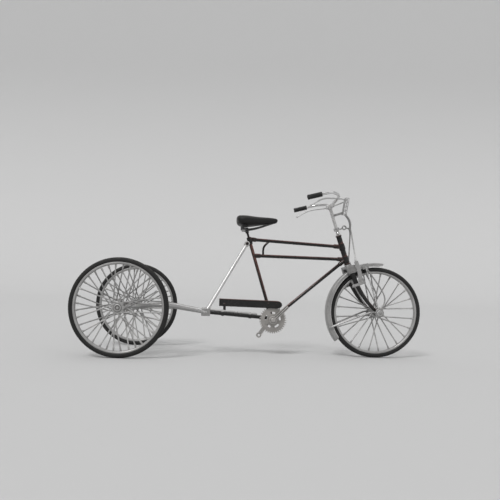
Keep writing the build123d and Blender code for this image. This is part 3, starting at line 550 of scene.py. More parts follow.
# tyre: across t the side goes as a sine and the height as (1 - side^2.6)^0.55; cuts on the shoulders and
# two grooves round the crown are bell curves taken off the radius
def makeTyre(row):
    v = wheelValues
    bore, half = v["rimRadius"] + v["tyreGap"], v["tyreHalf"]
    wall = v["tyreRadius"] - bore
    t = np.linspace(-1, 1, 33)
    side = half * np.sin(t * np.pi / 2 * 0.98)
    rise = bore + wall * (0.36 + 0.64 * np.clip(1 - np.abs(side / half)**2.6, 0, 1)**0.55)
    foot = [(bore + wall * 0.16, half * 0.93), (bore, half * 0.78)]
    back = [(radius, -place) for radius, place in foot[::-1]]
    section = np.concatenate([np.stack([rise, side], -1), foot, back])

    def tread(points, angle):
        out = np.abs(points[:, 1:] / half)
        height = (points[:, :1] - bore) / wall
        shoulder = np.exp(-((out - 0.62) / 0.2)**2) * (height > 0.5)
        cuts = 0.5 + 0.5 * np.tanh(6 * np.cos(angle * v["lugs"] + 5 * out))
        grooves = np.exp(-((out - 0.28) / 0.06)**2) * (height > 0.6)
        return -v["cutDepth"] * shoulder * cuts - v["grooveDepth"] * grooves

    skin = spun(section, (row["x"], row["y"], v["axleZ"]), 660, tread)
    addPiece("tyreSkin_" + row["name"], "tyre_" + row["name"], "tyre", [skin])


for row in wheelRows:
    makeWheel(row)
    makeTyre(row)
print("wheels made:", len(wheelRows))


# frame tubes: plain rods with a lug collar at each end that has one; rises are along the seat and head tubes
tubeValues = dict(
    radius=0.8, lug=0.26, lugLength=2.6, topTube=(40.7, -6.8), middleTube=(32.4, -13.2), seatLength=41.7,
    headRadius=1.25, headLugs=(-14.75, -8.35), brace=(0.1, 0.22), braceBow=(-1.2, 0, 0.6),
    stayEar=(38.8, 1.75))
headLug = ((0.0, 0.0), (0.07, 0.22), (0.25, 0.25), (2.85, 0.25), (3.03, 0.22), (3.1, 0.0))  # length, rise
stayEar = onSeat(*tubeValues["stayEar"])


# radius along a tube: a lug's width at an end that has one, then a short fall to the plain tube
def luggedTube(start, end, first, last):
    start, end = np.asarray(start, float), np.asarray(end, float)
    length, radius = np.linalg.norm(end - start), tubeValues["radius"]
    lug, reach = tubeValues["lug"], tubeValues["lugLength"]
    collar = ((0.0, lug), (0.12, lug * 0.6), (0.5, 0.0))
    rows = [(0, radius + (lug if first else 0))]
    if first:
        rows += [(reach + first + step, radius + rise) for step, rise in collar]
    if last:
        rows += [(length - reach - last - step, radius + rise) for step, rise in collar[::-1]]
    rows += [(length, radius + (lug if last else 0))]
    return turned(start, end - start, rows, 24)


# turned tubes, a brace carried along a bow, and the seat lug with its bolt
def makeFrame():
    v = tubeValues
    rises = (v["topTube"], v["middleTube"])
    topTube, middleTube = ([onSeat(seat), onSteering(0, 0, head)] for seat, head in rises)
    hr = v["headRadius"]
    head = [(-15.8, 1.35), (-15.72, 1.5), (-15.3, 1.5), (-15.2, hr)]
    head += [(foot + step, hr + rise) for foot in v["headLugs"] for step, rise in headLug]
    head += [(-1.6, hr), (-1.5, 1.5), (-1.08, 1.5), (-1.0, 1.35)]
    shell = bothWays([(1.55, 1.5), (1.6, 1.4), (1.7, 1.4), (1.75, 1.5), (2.12, 1.5), (2.2, 1.42), (2.2, 1.2)])
    braced = zip((middleTube, topTube), v["brace"])
    foot, tip = (tube[0] + (tube[1] - tube[0]) * part for tube, part in braced)
    bow = smoothCurve([foot, (foot + tip) / 2 + np.array(v["braceBow"]), tip], 10)
    collar = [(38.1, 0.9), (38.1, 1.0), (38.3, 1.14), (41.35, 1.16), (41.6, 1.1), (41.72, 0.9)]
    lug = [turned(onSeat(0), seatUp, collar, 24),
           turned(stayEar, across, bothWays([(1.6, 1.12), (1.7, 0.95)]), 24),
           block(onSeat(37.8, 0.9), onSeat(39.8, 0.9), 1.0, 0.95, across)]
    nut = [(2.7, 0.85), (3.02, 0.84), (3.1, 0.72)]
    bolt = [turned(stayEar, across, bothWays([(2.7, 0.45), (2.95, 0.45), (3.15, 0.45), (3.2, 0.35)]), 14),
            turned(stayEar, across, bothWays(nut)[:3], 6), turned(stayEar, across, nut, 6)]
    for name, node, shells in (
            ("topTube", "upper_top_tube", [luggedTube(*topTube, 0.6, 1.2)]),
            ("middleTube", "lower_top_tube", [luggedTube(*middleTube, 0.4, 1.2)]),
            ("downTube", "down_tube", [luggedTube(bracketAt, middleTube[1], 1.2, 1.2)]),
            ("seatTube", "seat_tube", [luggedTube(onSeat(0), onSeat(v["seatLength"]), 1.2, 0)]),
            ("headTube", "head_tube", [turned(steerOrigin, steerUp, head, 32)]),
            ("bracketShell", "bottom_bracket_shell", [turned(bracketAt, across, shell, 32)]),
            ("tubeBrace", "top_tube_brace", [carried(bow, circle(14, v["radius"] * 0.65), across)]),
            ("seatLug", "seat_lug", lug),
            ("stayBolt", "stay_bolt", bolt)):
        addPiece(name, node, "black", shells)


# rear half: silver seat stays, black chain stays, joint blocks, spread beams and the axle's hangers
rearValues = dict(
    joint=(-22.3, 6.5, 20.2), earSide=2.2, ear=1.3, earHole=0.47, stay=0.8, stayFoot=0.12,
    chainStart=(0, 1.4, 0.6), chainStay=0.8, clipPlaces=(0.34, 0.75), beam=0.9, crest=(-41.0, 13.17, 23.2),
    hanger=(-60.15, 20.0, 22.0), bridge=0.7, axle=0.7, axleEnd=29.2)
rodValues = dict(start=(0, -1.4, 2.05), end=(-22.3, -6.5, 21.65), radius=0.4, first=0.23, short=1.8,
                 clip=0.58, clipHalf=0.65)
clipCollar = ((-0.66, 0.0), (-0.6, 0.22), (-0.5, 0.26), (0.5, 0.26), (0.6, 0.22), (0.66, 0.0))  # length, rise


# straight stays are turned rods, the beams a circle carried along a path with rounded corners
def makeRear():
    v = rearValues
    for side, sign in bothSides:
        joint, crest, hanger = (np.array(v[k]) * [1, sign, 1] for k in ("joint", "crest", "hanger"))
        ear = stayEar + across * sign * v["earSide"]
        length, r = np.linalg.norm(joint - ear), v["stay"]
        rows = [(1.0, 0.5), (1.35, 0.62), (2.6, r), (length - 2.0, r), (length - 1.6, r + v["stayFoot"]),
                (length, r + v["stayFoot"])]
        shells = [turned(ear, joint - ear, rows, 20), eyeRing(ear, v["earHole"], v["ear"], 0.45)]
        addPiece("seatStay_" + side, "seat_stay_" + side, "paleSilver", shells)
        start = bracketAt + np.array(v["chainStart"]) * [1, sign, 1]
        reach, r = np.linalg.norm(joint - start), v["chainStay"]
        rows = [(reach * part + step, r + rise) for part in v["clipPlaces"] for step, rise in clipCollar]
        stay = turned(start, joint - start, [(0, r)] + rows + [(reach, r)], 20)
        addPiece("chainStay_" + side, "chain_stay_" + side, "stayBlack", [stay])
        shells = [block(joint - [2.1, 0, 0], joint + [2.1, 0, 0], 1.0, 1.8, upright),
                  turned(joint, across * sign, [(0.9, 0.62), (1.0, 0.62)], 6)]
        addPiece("stayJoint_" + side, "stay_joint_" + side, "silver", shells)
        path = bentPath([joint, crest, hanger + unit(crest - hanger) * 1.2], 5.0, 12)
        beam = carried(path, circle(20, v["beam"]), upright)
        addPiece("rearBeam_" + side, "rear_beam_" + side, "silver", [beam])
        shells = [block(hanger - across, hanger + across, 1.7, 1.7, upright, 0.3, 5),
                  turned(hanger, across, bothWays([(0.98, 1.25), (1.0, 1.25)]), 24)]
        addPiece("axleHanger_" + side, "axle_hanger_" + side, "silver", shells)
    r = rodValues
    rod = bracketAt + np.array(r["start"])
    run = np.array(r["end"]) - rod
    reach, way = np.linalg.norm(run), unit(run)
    first, size = reach * r["first"], r["radius"]
    shells = [turned(rod, run, [(first, 0.3), (first + 0.1, size), (reach - r["short"], size)], 16)]
    for part in v["clipPlaces"]:
        low, high = rod + way * (reach * part - r["clipHalf"]), rod + way * (reach * part + r["clipHalf"])
        shells.append(block(low, high, r["clip"], r["clip"], upright, 0.15))
    addPiece("stayRod", "stay_rod", "paleSilver", shells)
    joint, axle = (np.array(v[k]) * [1, 0, 1] for k in ("joint", "hanger"))
    bridge = turned(joint, across, bothWays([(4.9, 0.8), (5.2, 1.0), (5.5, 1.0)]), 20)
    addPiece("jointBridge", "joint_bridge", "silver", [bridge])
    low, high = (np.array(corner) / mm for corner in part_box("axle_bridge"))
    end = high[1]
    rows = bothWays([(end - 1.0, v["bridge"]), (end, v["bridge"] + 0.02)])
    addPiece("axleBridge", "axle_bridge", "silver", [turned((low + high) / 2 * [1, 0, 1], across, rows, 18)])
    end = v["axleEnd"]
    rows = bothWays([(end - 0.3, v["axle"]), (end - 0.12, 0.62), (end, 0.45)])
    addPiece("rearAxle", "rear_axle", "silver", [turned(axle, across, rows, 20)])


makeFrame()
makeRear()
print("frame made")

# chainring and sprocket: polar sheets, the teeth a raised wave of the outer edge, five arc slots left open
ringValues = dict(centre=(10.0, -3.8, 17.2), tip=6.5, root=5.72, teeth=36, thick=0.6, slots=5, slotTurn=18.0,
                  slotRadius=3.45, slotHalf=0.48, slotReach=20.0)
sprocketValues = dict(centre=(-60.15, -3.8, 22.0), tip=2.6, root=2.05, teeth=14, thick=0.6)


# from root to tip and back as a clipped cosine, one wave to a tooth
def toothEdge(angle, values):
    wave = np.cos(angle * values["teeth"])
    return values["root"] + (values["tip"] - values["root"]) * np.clip(0.5 + 0.72 * wave, 0, 1)


# rings of the given radii about the centre's Y axis
def polarPoints(centre, radii, angle):
    x = centre[0] + radii * np.cos(angle)
    z = centre[2] + radii * np.sin(angle)
    return np.stack([x, np.full_like(x, centre[1]), z], -1).reshape(-1, 3)


# two rings of the sheet bound the slots, their gap there as (1 - turn^8)^0.5; the faces between are left out
def makeRing():
    v = ringValues
    angle = fullTurn(v["teeth"] * 14)
    steps, pitch = len(angle), 360 / v["slots"]
    turn = (np.degrees(angle) - v["slotTurn"] + pitch / 2) % pitch - pitch / 2
    inside = np.abs(turn) < v["slotReach"]
    spread = np.where(inside, np.sqrt(np.clip(1 - (np.abs(turn) / v["slotReach"])**8, 0.0, 1)), 1.0)
    low, high = (v["slotRadius"] + way * v["slotHalf"] * spread for way in (-1, 1))
    flat = np.ones(steps)
    rings = [r * flat for r in (0.62, 1.5, 2.5)] + [low, high] + [r * flat for r in (4.5, 5.1, 5.5)]
    radii = np.stack(rings + [toothEdge(angle, v)])
    faces = np.array(gridFaces(len(radii), steps))
    row, col = np.divmod(np.arange(len(faces)), steps)
    keep = ~((row == 3) & inside[col] & inside[(col + 1) % steps])
    plate = (polarPoints(v["centre"], radii, angle), faces[keep].tolist())
    thicken(addPiece("chainRing", "chainring", "ring", [plate]), v["thick"], 0.07)
    s = sprocketValues
    angle = fullTurn(s["teeth"] * 16)
    radii = np.stack([np.full_like(angle, 0.72), np.full_like(angle, 1.4), toothEdge(angle, s)])
    plate = (polarPoints(s["centre"], radii, angle), gridFaces(len(radii), len(angle)))
    thicken(addPiece("rearCog", "rear_sprocket", "ring", [plate]), s["thick"], 0.06)


# cranks: a bar with two flutes on its outer face; the left one ends in an open eye
crankRows = (dict(side="right", sign=-1, angle=45.0, length=9.5, eye=False, inner=4.12),
             dict(side="left", sign=1, angle=236.0, length=10.0, eye=True, inner=2.6))
crankValues = dict(face=6.0, eyeHole=0.62, eye=1.3, eyeHalf=0.5, spindle=0.58, spindleEnd=6.3)
fluteSide = ((0.95, 0.4), (0.87, 0.5), (0.68, 0.5), (0.58, 0.22), (0.42, 0.14), (0.28, 0.22), (0.18, 0.5))
bossFace = ((5.75, 1.9), (5.95, 1.78), (5.98, 1.5), (5.86, 1.36), (5.86, 1.28), (6.2, 1.2), (6.38, 1.0),
            (6.47, 0.7), (6.5, 0.3))


# the fluted outline carried along each arm, and bosses turned about the spindle
def makeCranks():
    v = crankValues
    base = [(-0.95, -0.42), (-0.87, -0.5), (0.87, -0.5), (0.95, -0.42)]
    outline = np.array(base + list(fluteSide) + [(-x, y) for x, y in fluteSide[::-1]])
    for row in crankRows:
        sign, turn = row["sign"], math.radians(row["angle"])
        way = np.array([math.cos(turn), 0, math.sin(turn)])
        face = bracketAt + across * sign * v["face"]
        reach = row["length"] - (1.0 if row["eye"] else 0.0)
        share = np.array([1.2, 1.5, reach * 0.5, reach - 0.15, reach])
        bar = carried(face + way * share[:, None], outline, across * sign, np.array([0.97, 1, 1, 1, 0.93]))
        profile = [(row["inner"], 1.8), (row["inner"] + 0.1, 1.9)] + list(bossFace)
        shells = [bar, turned(bracketAt, across * sign, profile, 32)]
        if row["eye"]:
            shells.append(eyeRing(face + way * row["length"], v["eyeHole"], v["eye"], v["eyeHalf"]))
        addPiece("crank_" + row["side"] + "_arm", "crank_" + row["side"], "arm", shells)
    end = v["spindleEnd"]
    spindle = turned(bracketAt, across, bothWays([(end - 0.08, v["spindle"]), (end, 0.45)]), 16)
    addPiece("crankSpindle", "crank_spindle", "ring", [spindle])


# chain guard: a long black plate, its top edge rolled inwards, rounded at the front, on two straps
guardValues = dict(back=-16.0, front=14.0, tip=2.2, foot=22.9, height=3.3, side=-4.9, drop=0.5, wall=0.4,
                   strapX=-13.4, strapZ=24.2)


# sheet: z follows a sine of t across it, the edges roll in with a power of t, the nose is a quarter ellipse
def makeChainGuard():
    v = guardValues
    bend = v["front"] - v["tip"]
    nose = bend + v["tip"] * np.sin(np.linspace(0.1, 1, 9) * np.pi / 2)
    along = np.concatenate([np.linspace(v["back"], bend, 26), nose])
    end = np.clip((along - bend) / v["tip"], 0, 1)
    half = v["height"] / 2 * (0.06 + 0.94 * np.sqrt(np.clip(1 - end**2, 0, 1)))
    middle = v["foot"] + v["height"] / 2 + v["drop"] * (v["front"] - along) / (v["front"] - v["back"])
    t = np.linspace(-1, 1, 17)
    z = middle[:, None] + half[:, None] * np.sin(t * np.pi / 2 * 0.96)
    roll = np.clip(t - 0.8, 0, 1)**1.5 * 7.0 + np.clip(-t - 0.86, 0, 1)**1.5 * 3.0
    points = np.stack(np.broadcast_arrays(along[:, None], v["side"] + roll, z), -1)
    thicken(addPiece("chainGuardPlate", "chain_guard", "black", [sheet(points)]), v["wall"])
    seat = onSeat((v["foot"] + 2.0 - bracketAt[2]) / seatUp[2])
    strap = np.array([v["strapX"], v["side"], 0])
    shells = [block(seat + [0, -0.4, 0], seat + [0, -4.7, 0], 0.5, 0.42, upright, 0.1),
              block(strap + [0, 0, 21.2], strap + [0, 0, 24.5], 0.62, 0.24, across, 0.08)]
    for x, z in ((seat[0], seat[2]), (v["strapX"], v["strapZ"])):
        shells.append(turned((x, 0, z), -across, [(5.0, 0.5), (5.25, 0.48), (5.35, 0.3)], 12))
    addPiece("guardStraps", "chain_guard", "black", shells)


makeRing()
makeCranks()
makeChainGuard()
print("crank set made")

# fork: a boxy crown with two framed sockets, and blades that taper along an arc to the axle
forkValues = dict(
    rake=6.08, reach=42.07, blade=4.6, top=1.2, tip=0.7, eye=(0.57, 1.4, 0.7), crownFoot=-17.8,
    crownTop=-16.6, crownEnd=1.3, crownHalf=0.6, socketFoot=-20.3, socketHalf=1.22, halfLength=1.95,
    frameInset=0.28, frameBar=0.26, frameRung=0.22, frameThick=0.13, frameSoft=0.06, raceRadius=1.42,
    steerer=0.7)


# blade: an arc that ends `rake` ahead of the axis, its radius falling from top to tip
def makeFork():
    v = forkValues
    top, foot = v["crownTop"], v["socketFoot"]
    middle, outer = (v["crownFoot"] + top) / 2, v["blade"] + v["crownEnd"]
    ends = (onSteering(0, sign * outer, middle) for sign in (-1, 1))
    shells = [block(*ends, v["halfLength"], v["crownHalf"], steerUp, 0.22)]
    tall, edge = top - foot, v["halfLength"] - v["frameInset"]
    thin = (v["frameThick"], across, v["frameSoft"])
    for side, sign in bothSides:
        socket = onSteering(0, sign * (v["blade"] - 0.08), foot)
        cup = (socket, socket + steerUp * tall)
        shells.append(block(*cup, v["halfLength"], v["socketHalf"], across, 0.2, 9))
        face = onSteering(0, sign * (outer - 0.16), foot)
        for step in (-edge, edge):
            strip = face + steerAhead * step
            ends = (strip + steerUp * rise for rise in (0.08, tall - 0.08))
            shells.append(block(*ends, v["frameBar"], *thin))
        for step in (0.3, tall - 0.3):
            strip = face + steerUp * step
            shells.append(block(strip - steerAhead * edge, strip + steerAhead * edge, v["frameRung"], *thin))
    wide, thinner = v["raceRadius"], v["steerer"]
    race = [(top - 0.2, wide), (top + 0.55, wide), (top + 0.7, 1.3), (top + 0.7, thinner), (0.66, thinner),
            (0.7, 0.6)]
    shells.append(turned(steerOrigin, steerUp, race, 32))
    addPiece("forkCrown", "fork_crown", "dullSilver", shells)
    drop = v["reach"] + foot
    bend = (v["rake"]**2 + drop**2) / (2 * v["rake"])
    turn = np.linspace(-0.03, 0.985, 30) * math.asin(drop / bend)
    share = np.clip(turn / turn[-1], 0, 1)
    ahead, along = bend * (1 - np.cos(turn)), foot - bend * np.sin(turn)
    for side, sign in bothSides:
        path = onSteering(ahead[:, None], sign * v["blade"], along[:, None])
        blade = carried(path, circle(20, 1.0), across, v["top"] + (v["tip"] - v["top"]) * share**1.15)
        tip = onSteering(v["rake"], sign * v["blade"], -v["reach"])
        shells = [blade, eyeRing(tip, *v["eye"], 32, 0.16)]
        addPiece("forkBlade_" + side, "fork_blade_" + side, "black", shells)


# front axle: rod, thin washers and six-sided nuts with a chamfered face
axleValues = dict(place=(60.15, 0.0, 22.0), rod=0.55, end=8.42, washer=2.05, washerSide=7.12,
                  washerThick=0.3, nut=1.45, nutHeight=0.7)


# stations of distance and radius about the axle, the nuts with six sides
def makeFrontAxle():
    v = axleValues
    end, flat, wide = v["end"], v["washerSide"], v["washer"]
    nutFoot = flat + v["washerThick"]
    top = nutFoot + v["nutHeight"]
    rod = bothWays([(end - 0.2, v["rod"]), (end - 0.12, 0.5), (end, 0.34)])
    shells = [turned(v["place"], across, rod, 18)]
    washer = [(flat, wide - 0.1), (flat + 0.05, wide), (nutFoot - 0.08, wide), (nutFoot, wide - 0.1)]
    nut = [(nutFoot, v["nut"]), (top - 0.16, v["nut"]), (top, v["nut"] * 0.86), (top, 0.6), (top - 0.1, 0.56)]
    for side, sign in bothSides:
        out = across * sign
        shells += [turned(v["place"], out, washer, 36), turned(v["place"], out, nut, 6, 0.3)]
    addPiece("frontAxle", "front_axle", "silver", shells, 35)


# mudguard: an arched strip round the wheel, its side skirts deeper to the rear and its ends rounded off
guardSheet = dict(
    centre=(60.15, 22.0), rise=24.2, half=2.35, start=82.0, end=217.0, skirt=(1.4, 2.6), wall=0.35,
    roundFront=1.5, roundRear=1.1, crown=0.62, shoulder=0.62, arch=0.86, bead=0.2)


# across the strip t runs from edge to edge: an arched crown up to the shoulder, then a skirt that falls
def makeMudguard():
    v = guardSheet
    shoulder, arch = v["shoulder"], np.pi / 2 * v["arch"]
    turn = np.radians(np.linspace(v["start"], v["end"], 120))
    length = turn * v["rise"]
    front = np.clip((length - length[0]) / v["roundFront"], 0, 1)
    rear = np.clip((length[-1] - length) / v["roundRear"], 0, 1)
    close = 0.25 + 0.75 * np.sqrt(np.clip(1 - (1 - np.minimum(front, rear))**2, 0, 1))
    share = (turn - turn[0]) / (turn[-1] - turn[0])
    shallow, deep = v["skirt"]
    skirt = (shallow + (deep - shallow) * share**0.8) * close
    t = np.linspace(-1, 1, 31)
    bend = np.clip(np.abs(t) / shoulder, 0, 1)
    fall = np.clip((np.abs(t) - shoulder) / (1 - shoulder), 0, 1)
    width = np.where(np.abs(t) < shoulder, np.sin(bend * arch) / math.sin(arch) * 0.97, 0.97 + 0.03 * fall)
    crown = v["crown"] * (1 - np.sqrt(np.clip(1 - (bend * 0.985)**2, 0, 1)))
    half = v["half"] - v["wall"] / 2 - 0.05
    y = np.sign(t) * width * half * np.minimum(close * 1.02, 1)[:, None]
    radius = v["rise"] - v["wall"] / 2 - 0.04 - crown - np.maximum(skirt[:, None] - 0.85, 0.1) * fall
    x = v["centre"][0] + radius * np.cos(turn)[:, None]
    z = v["centre"][1] + radius * np.sin(turn)[:, None]
    points = np.stack(np.broadcast_arrays(x, y, z), -1)
    thicken(addPiece("mudguardSheet", "front_mudguard", "silver", [sheet(points)], 60), v["wall"])
    rim = np.concatenate([points[:, 0], points[-1, 1:-1], points[::-1, -1], points[0, -2:0:-1]])
    keep = np.concatenate([[True], np.linalg.norm(np.diff(rim, axis=0), axis=1) > 0.02])
    # the rolled edge bead is real, and its paler finish is a painted highlight along the mudguard's edge
    bead = carried(rim[keep], circle(8, v["bead"]), (0.13, 0.2, 0.97), loop=True)
    addPiece("mudguardBead", "front_mudguard", "paleSilver", [bead], 60)


# mudguard stays: a rear wire with a knee; in front a straight wire, a bowed one and a clip block
stayValues = dict(
    axle=(60.15, 22.0), reach=23.03, eye=(0.57, 1.0, 0.31), rearEye=5.91, rearEnd=(199.0, 2.77),
    knee=(-3.15, 0.06, 0.4), rearWire=0.42, frontEye=6.76, frontEnd=(105.0, 2.68), bow=(2.6, 0.3, 8.2),
    frontWire=0.33, clip=(3.2, 2.56, 0.66), rivet=((0.2, 0.42), (0.33, 0.42), (0.4, 0.34)), rivetStep=0.9)


# a stay's eye at the axle, its end on the mudguard, and a point between at a share of the way across
def stayPlaces(side, end, between):
    (x, z), reach = stayValues["axle"], stayValues["reach"]
    turn, endSide = math.radians(end[0]), end[1]
    foot = np.array([x + reach * math.cos(turn), endSide, z + reach * math.sin(turn)])
    eye = np.array([x, side, z])
    return eye, foot, eye + [between[0], (endSide - side) * between[1], between[2]]


# wires are circles carried along a bent or bowed path from the axle's eye to the mudguard
def makeGuardStays():
    v = stayValues
    long, wide, thick = v["clip"]
    for side, sign in bothSides:
        flip = np.array([1, sign, 1])
        eye, end, knee = stayPlaces(v["rearEye"], v["rearEnd"], v["knee"])
        path = bentPath(np.array([eye - [0.6, 0, 0], knee, end]) * flip, 1.2, 8)
        shells = [carried(path, circle(10, v["rearWire"]), across), eyeRing(eye * flip, *v["eye"]),
                  turned(end * flip, across * -sign, [(-0.42, 0.6), (-0.3, 0.72), (0.3, 0.72)], 16)]
        addPiece("guardStayRear_" + side, "mudguard_stay_rear_" + side, "silver", shells)
        eye, end, bow = stayPlaces(v["frontEye"], v["frontEnd"], v["bow"])
        bow = smoothCurve(np.array([eye + [0.15, 0, 0.6], bow, end]) * flip, 14)
        line = np.array([eye + [0, 0, 0.6], end]) * flip
        shells = [carried(path, circle(10, v["frontWire"]), across) for path in (bow, line)]
        turn, end = math.radians(v["frontEnd"][0]), end * flip
        along = np.array([math.sin(turn), 0, -math.cos(turn)])
        ends = (end - along * long / 2, end + along * long / 2)
        shells += [block(*ends, wide / 2, thick / 2, across, 0.14, 8), eyeRing(eye * flip, *v["eye"])]
        for step in (-v["rivetStep"], v["rivetStep"]):
            shells.append(turned(end + along * step, across * sign, v["rivet"], 14))
        addPiece("guardStayFront_" + side, "mudguard_stay_front_" + side, "silver", shells)


makeFork()
makeFrontAxle()
makeMudguard()
makeGuardStays()
print("fork and mudguard made")

# handlebar: one tube through the clamp, up and out to each side, then back to the ribbed grips
barValues = dict(clamp=(36.78, 0.0, 73.0), radius=0.65, bend=2.4, grip=1.16, ribs=11, ribStart=0.55,
                 ribPitch=0.45,
                 corners=((0.0, 5.2, 0.0), (1.7, 12.6, 3.2), (-3.2, 18.3, 3.7), (-13.9, 18.7, 0.9)))
barClamp = np.array(barValues["clamp"])


# a circle carried along straight runs with rounded corners; the grips' ribs repeat four stations
def makeBar():
    v = barValues
    half, r = np.array(v["corners"]), v["grip"]
    path = bentPath(barClamp + np.concatenate([half[::-1] * [1, -1, 1], half]), v["bend"], 10)
    tube = carried(path, circle(20, v["radius"]), (0.25, 0, -0.97))
    addPiece("handlebarTube", "handlebar", "chrome", [tube])
    rows = [(-0.5, 0.55), (-0.46, 0.85), (-0.34, r - 0.06), (-0.2, r), (0.35, r), (0.45, r - 0.14)]
    for k in range(v["ribs"]):
        rows += [(v["ribStart"] + k * v["ribPitch"] + step, r - cut)
                 for step, cut in ((0, 0.14), (0.1, 0.02), (0.26, 0.02), (0.36, 0.14))]
    rows += [(5.7, r - 0.1), (5.8, r), (6.05, r), (6.17, r - 0.1), (6.2, 0.7)]
    for side, sign in bothSides:
        flip = np.array([1, sign, 1])
        sleeve = turned(barClamp + half[3] * flip, (half[2] - half[3]) * flip, rows, 28)
        addPiece("gripSleeve_" + side, "grip_" + side, "grip", [sleeve], 50)


# headset and stem: a rounded locknut, the stem's quill and a split clamp, a bolt behind it and a knob ahead
stemValues = dict(
    ear=(-1.35, 0, 13.3), knob=(1.85, 0, 0.55),
    nut=((-0.9, 1.2), (-0.86, 1.4), (-0.62, 1.4), (-0.55, 1.2), (-0.52, 0.74), (-0.4, 0.78), (-0.2, 0.95),
         (0.1, 1.02), (0.4, 0.95), (0.6, 0.78), (0.68, 0.7), (1.5, 0.7), (1.9, 0.72)),
    quill=((0.76, 0.72), (11.6, 0.75), (12.3, 0.85), (12.9, 1.0), (13.7, 1.0)),
    sleeve=((0.24, 1.14), (0.3, 1.25), (1.9, 1.25), (2.1, 1.2), (2.2, 1.08), (2.2, 0.7)))


# turned parts on the steering axis and the clamp's axis, and two blocks
def makeStem():
    v = stemValues
    addPiece("headsetNut", "headset_nut", "chrome", [turned(steerOrigin, steerUp, v["nut"], 32)], 50)
    ear, front = onSteering(*v["ear"]), barClamp + v["knob"]
    shells = [turned(steerOrigin, steerUp, v["quill"], 24),
              turned(barClamp, across, bothWays(v["sleeve"]), 28),
              block(ear - across, ear + across, 0.5, 0.42, steerUp, 0.12),
              turned(ear, across, bothWays([(1.0, 0.4), (1.3, 0.4), (1.35, 0.3)]), 6),
              turned(front, across, bothWays([(1.4, 0.62), (1.66, 0.52), (1.75, 0.3)]), 18),
              block(barClamp, front, 1.1, 0.36, upright, 0.1)]
    addPiece("stemClamp", "stem", "paleSilver", shells)


# rod brake: thin levers under the bar, a ladder bracket, hooked rods, flat legs and shoes
brakeValues = dict(
    wire=0.33, foot=(43.85, 0.0, 69.2), top=(45.1, 0.0, 77.45), cheek=1.42, half=0.78, bar=0.2,
    rungs=(0.025, 0.26, 0.5, 0.74, 0.975), arm=(0.7, 5.4), armRise=9.0, armHalf=0.55, leverRise=0.84,
    leverSide=1.2, lever=((-12.9, 18.4, -2.8), (-7.0, 18.0, 0.9), (2.5, 13.0, 1.6)),
    knob=((-0.2, 0.2), (-0.1, 0.38), (0.1, 0.46), (0.35, 0.4), (0.55, 0.33)),
    rod=((44.4, 0.8, 69.5), (46.4, 0.8, 67.0), (47.1, 0.8, 64.6), (46.9, 0.8, 62.4), (47.4, 1.0, 60.4)),
    leg=6.45, legTop=(2.68, -15.3), legFoot=(1.88, -25.57), legBow=0.55, legHalf=0.95, legThick=0.25,
    shoe=(0.48, -26.17), shoeSize=(6.0, 1.3), tilt=21.4)


# two ladders side by side, joined by a back plate and held by an arm from the stem
def makeLeverBracket(foot, top):
    v = brakeValues
    rise = unit(top - foot)
    ahead = np.cross(across, rise) * v["half"]
    shells = []
    for sign in (-1, 1):
        cheek = across * sign * v["cheek"]
        for step in (-ahead, ahead):
            shells.append(block(foot + cheek + step, top + cheek + step, 0.12, v["bar"], across, 0.05))
        for part in v["rungs"]:
            rung = foot + (top - foot) * part + cheek
            shells.append(block(rung - ahead, rung + ahead, v["bar"], 0.12, rise, 0.05))
    shells.append(block(foot - ahead + rise * 0.1, top - ahead - rise * 0.1, v["cheek"], 0.14, ahead, 0.08))
    ends = (onSteering(ahead, 0, v["armRise"]) for ahead in v["arm"])
    shells.append(block(*ends, v["armHalf"], v["armHalf"], steerUp, 0.12))
    addPiece("leverBracket", "lever_bracket", "silver", shells)


# levers and rods are circles carried along bent paths; a leg is a flat pad on a line with a sine bow
def makeBrake():
    v = brakeValues
    foot, top = np.array(v["foot"]), np.array(v["top"])
    makeLeverBracket(foot, top)
    t = np.linspace(0, 1, 16)[:, None]
    tilt = math.radians(v["tilt"])
    way = np.array([math.cos(tilt), 0, math.sin(tilt)])
    down = np.cross(way, across)
    long, wide = way * v["shoeSize"][0] / 2, v["shoeSize"][1] / 2
    for side, sign in bothSides:
        flip = np.array([1, sign, 1])
        pivot = foot + (top - foot) * v["leverRise"] + across * sign * v["leverSide"]
        lever = np.concatenate([barClamp + np.array(v["lever"]) * flip, [pivot]])
        shells = [carried(bentPath(lever, 3.4, 12), circle(12, v["wire"]), (-0.3, 0, 1)),
                  turned(lever[0], lever[1] - lever[0], v["knob"], 14)]
        addPiece("brakeLever_" + side, "brake_lever_" + side, "wire", shells)
        legTop, legFoot, shoe = (onSteering(ahead, sign * v["leg"], along)
                                 for ahead, along in (v["legTop"], v["legFoot"], v["shoe"]))
        rod = np.concatenate([np.array(v["rod"]) * flip, [legTop]])
        strip = legTop + (legFoot - legTop) * t + steerAhead * v["legBow"] * np.sin(np.pi * t)
        shells = [carried(bentPath(rod, 1.5, 10), circle(12, v["wire"]), across),
                  turned(legTop, rod[-2] - legTop, [(-0.3, 0.42), (-0.2, 0.5), (1.0, 0.5), (1.1, 0.42)], 14),
                  carried(strip, pad(20, v["legHalf"], v["legThick"], 8), across)]
        addPiece("brakeStirrup_" + side, "brake_stirrup_" + side, "silver", shells)
        holder, rubber, short = shoe - down * 0.25, shoe + down * 0.3, long - way * 0.2
        shells = [block(holder - long, holder + long, wide, 0.38, down, 0.16, 8),
                  block(rubber - short, rubber + short, wide - 0.12, 0.34, down, 0.14, 6),
                  turned(shoe - down * 0.2, across * sign, [(0.5, 0.5), (0.62, 0.48), (0.65, 0.3)], 14)]
        addPiece("brakeShoe_" + side, "brake_shoe_" + side, "silver", shells)


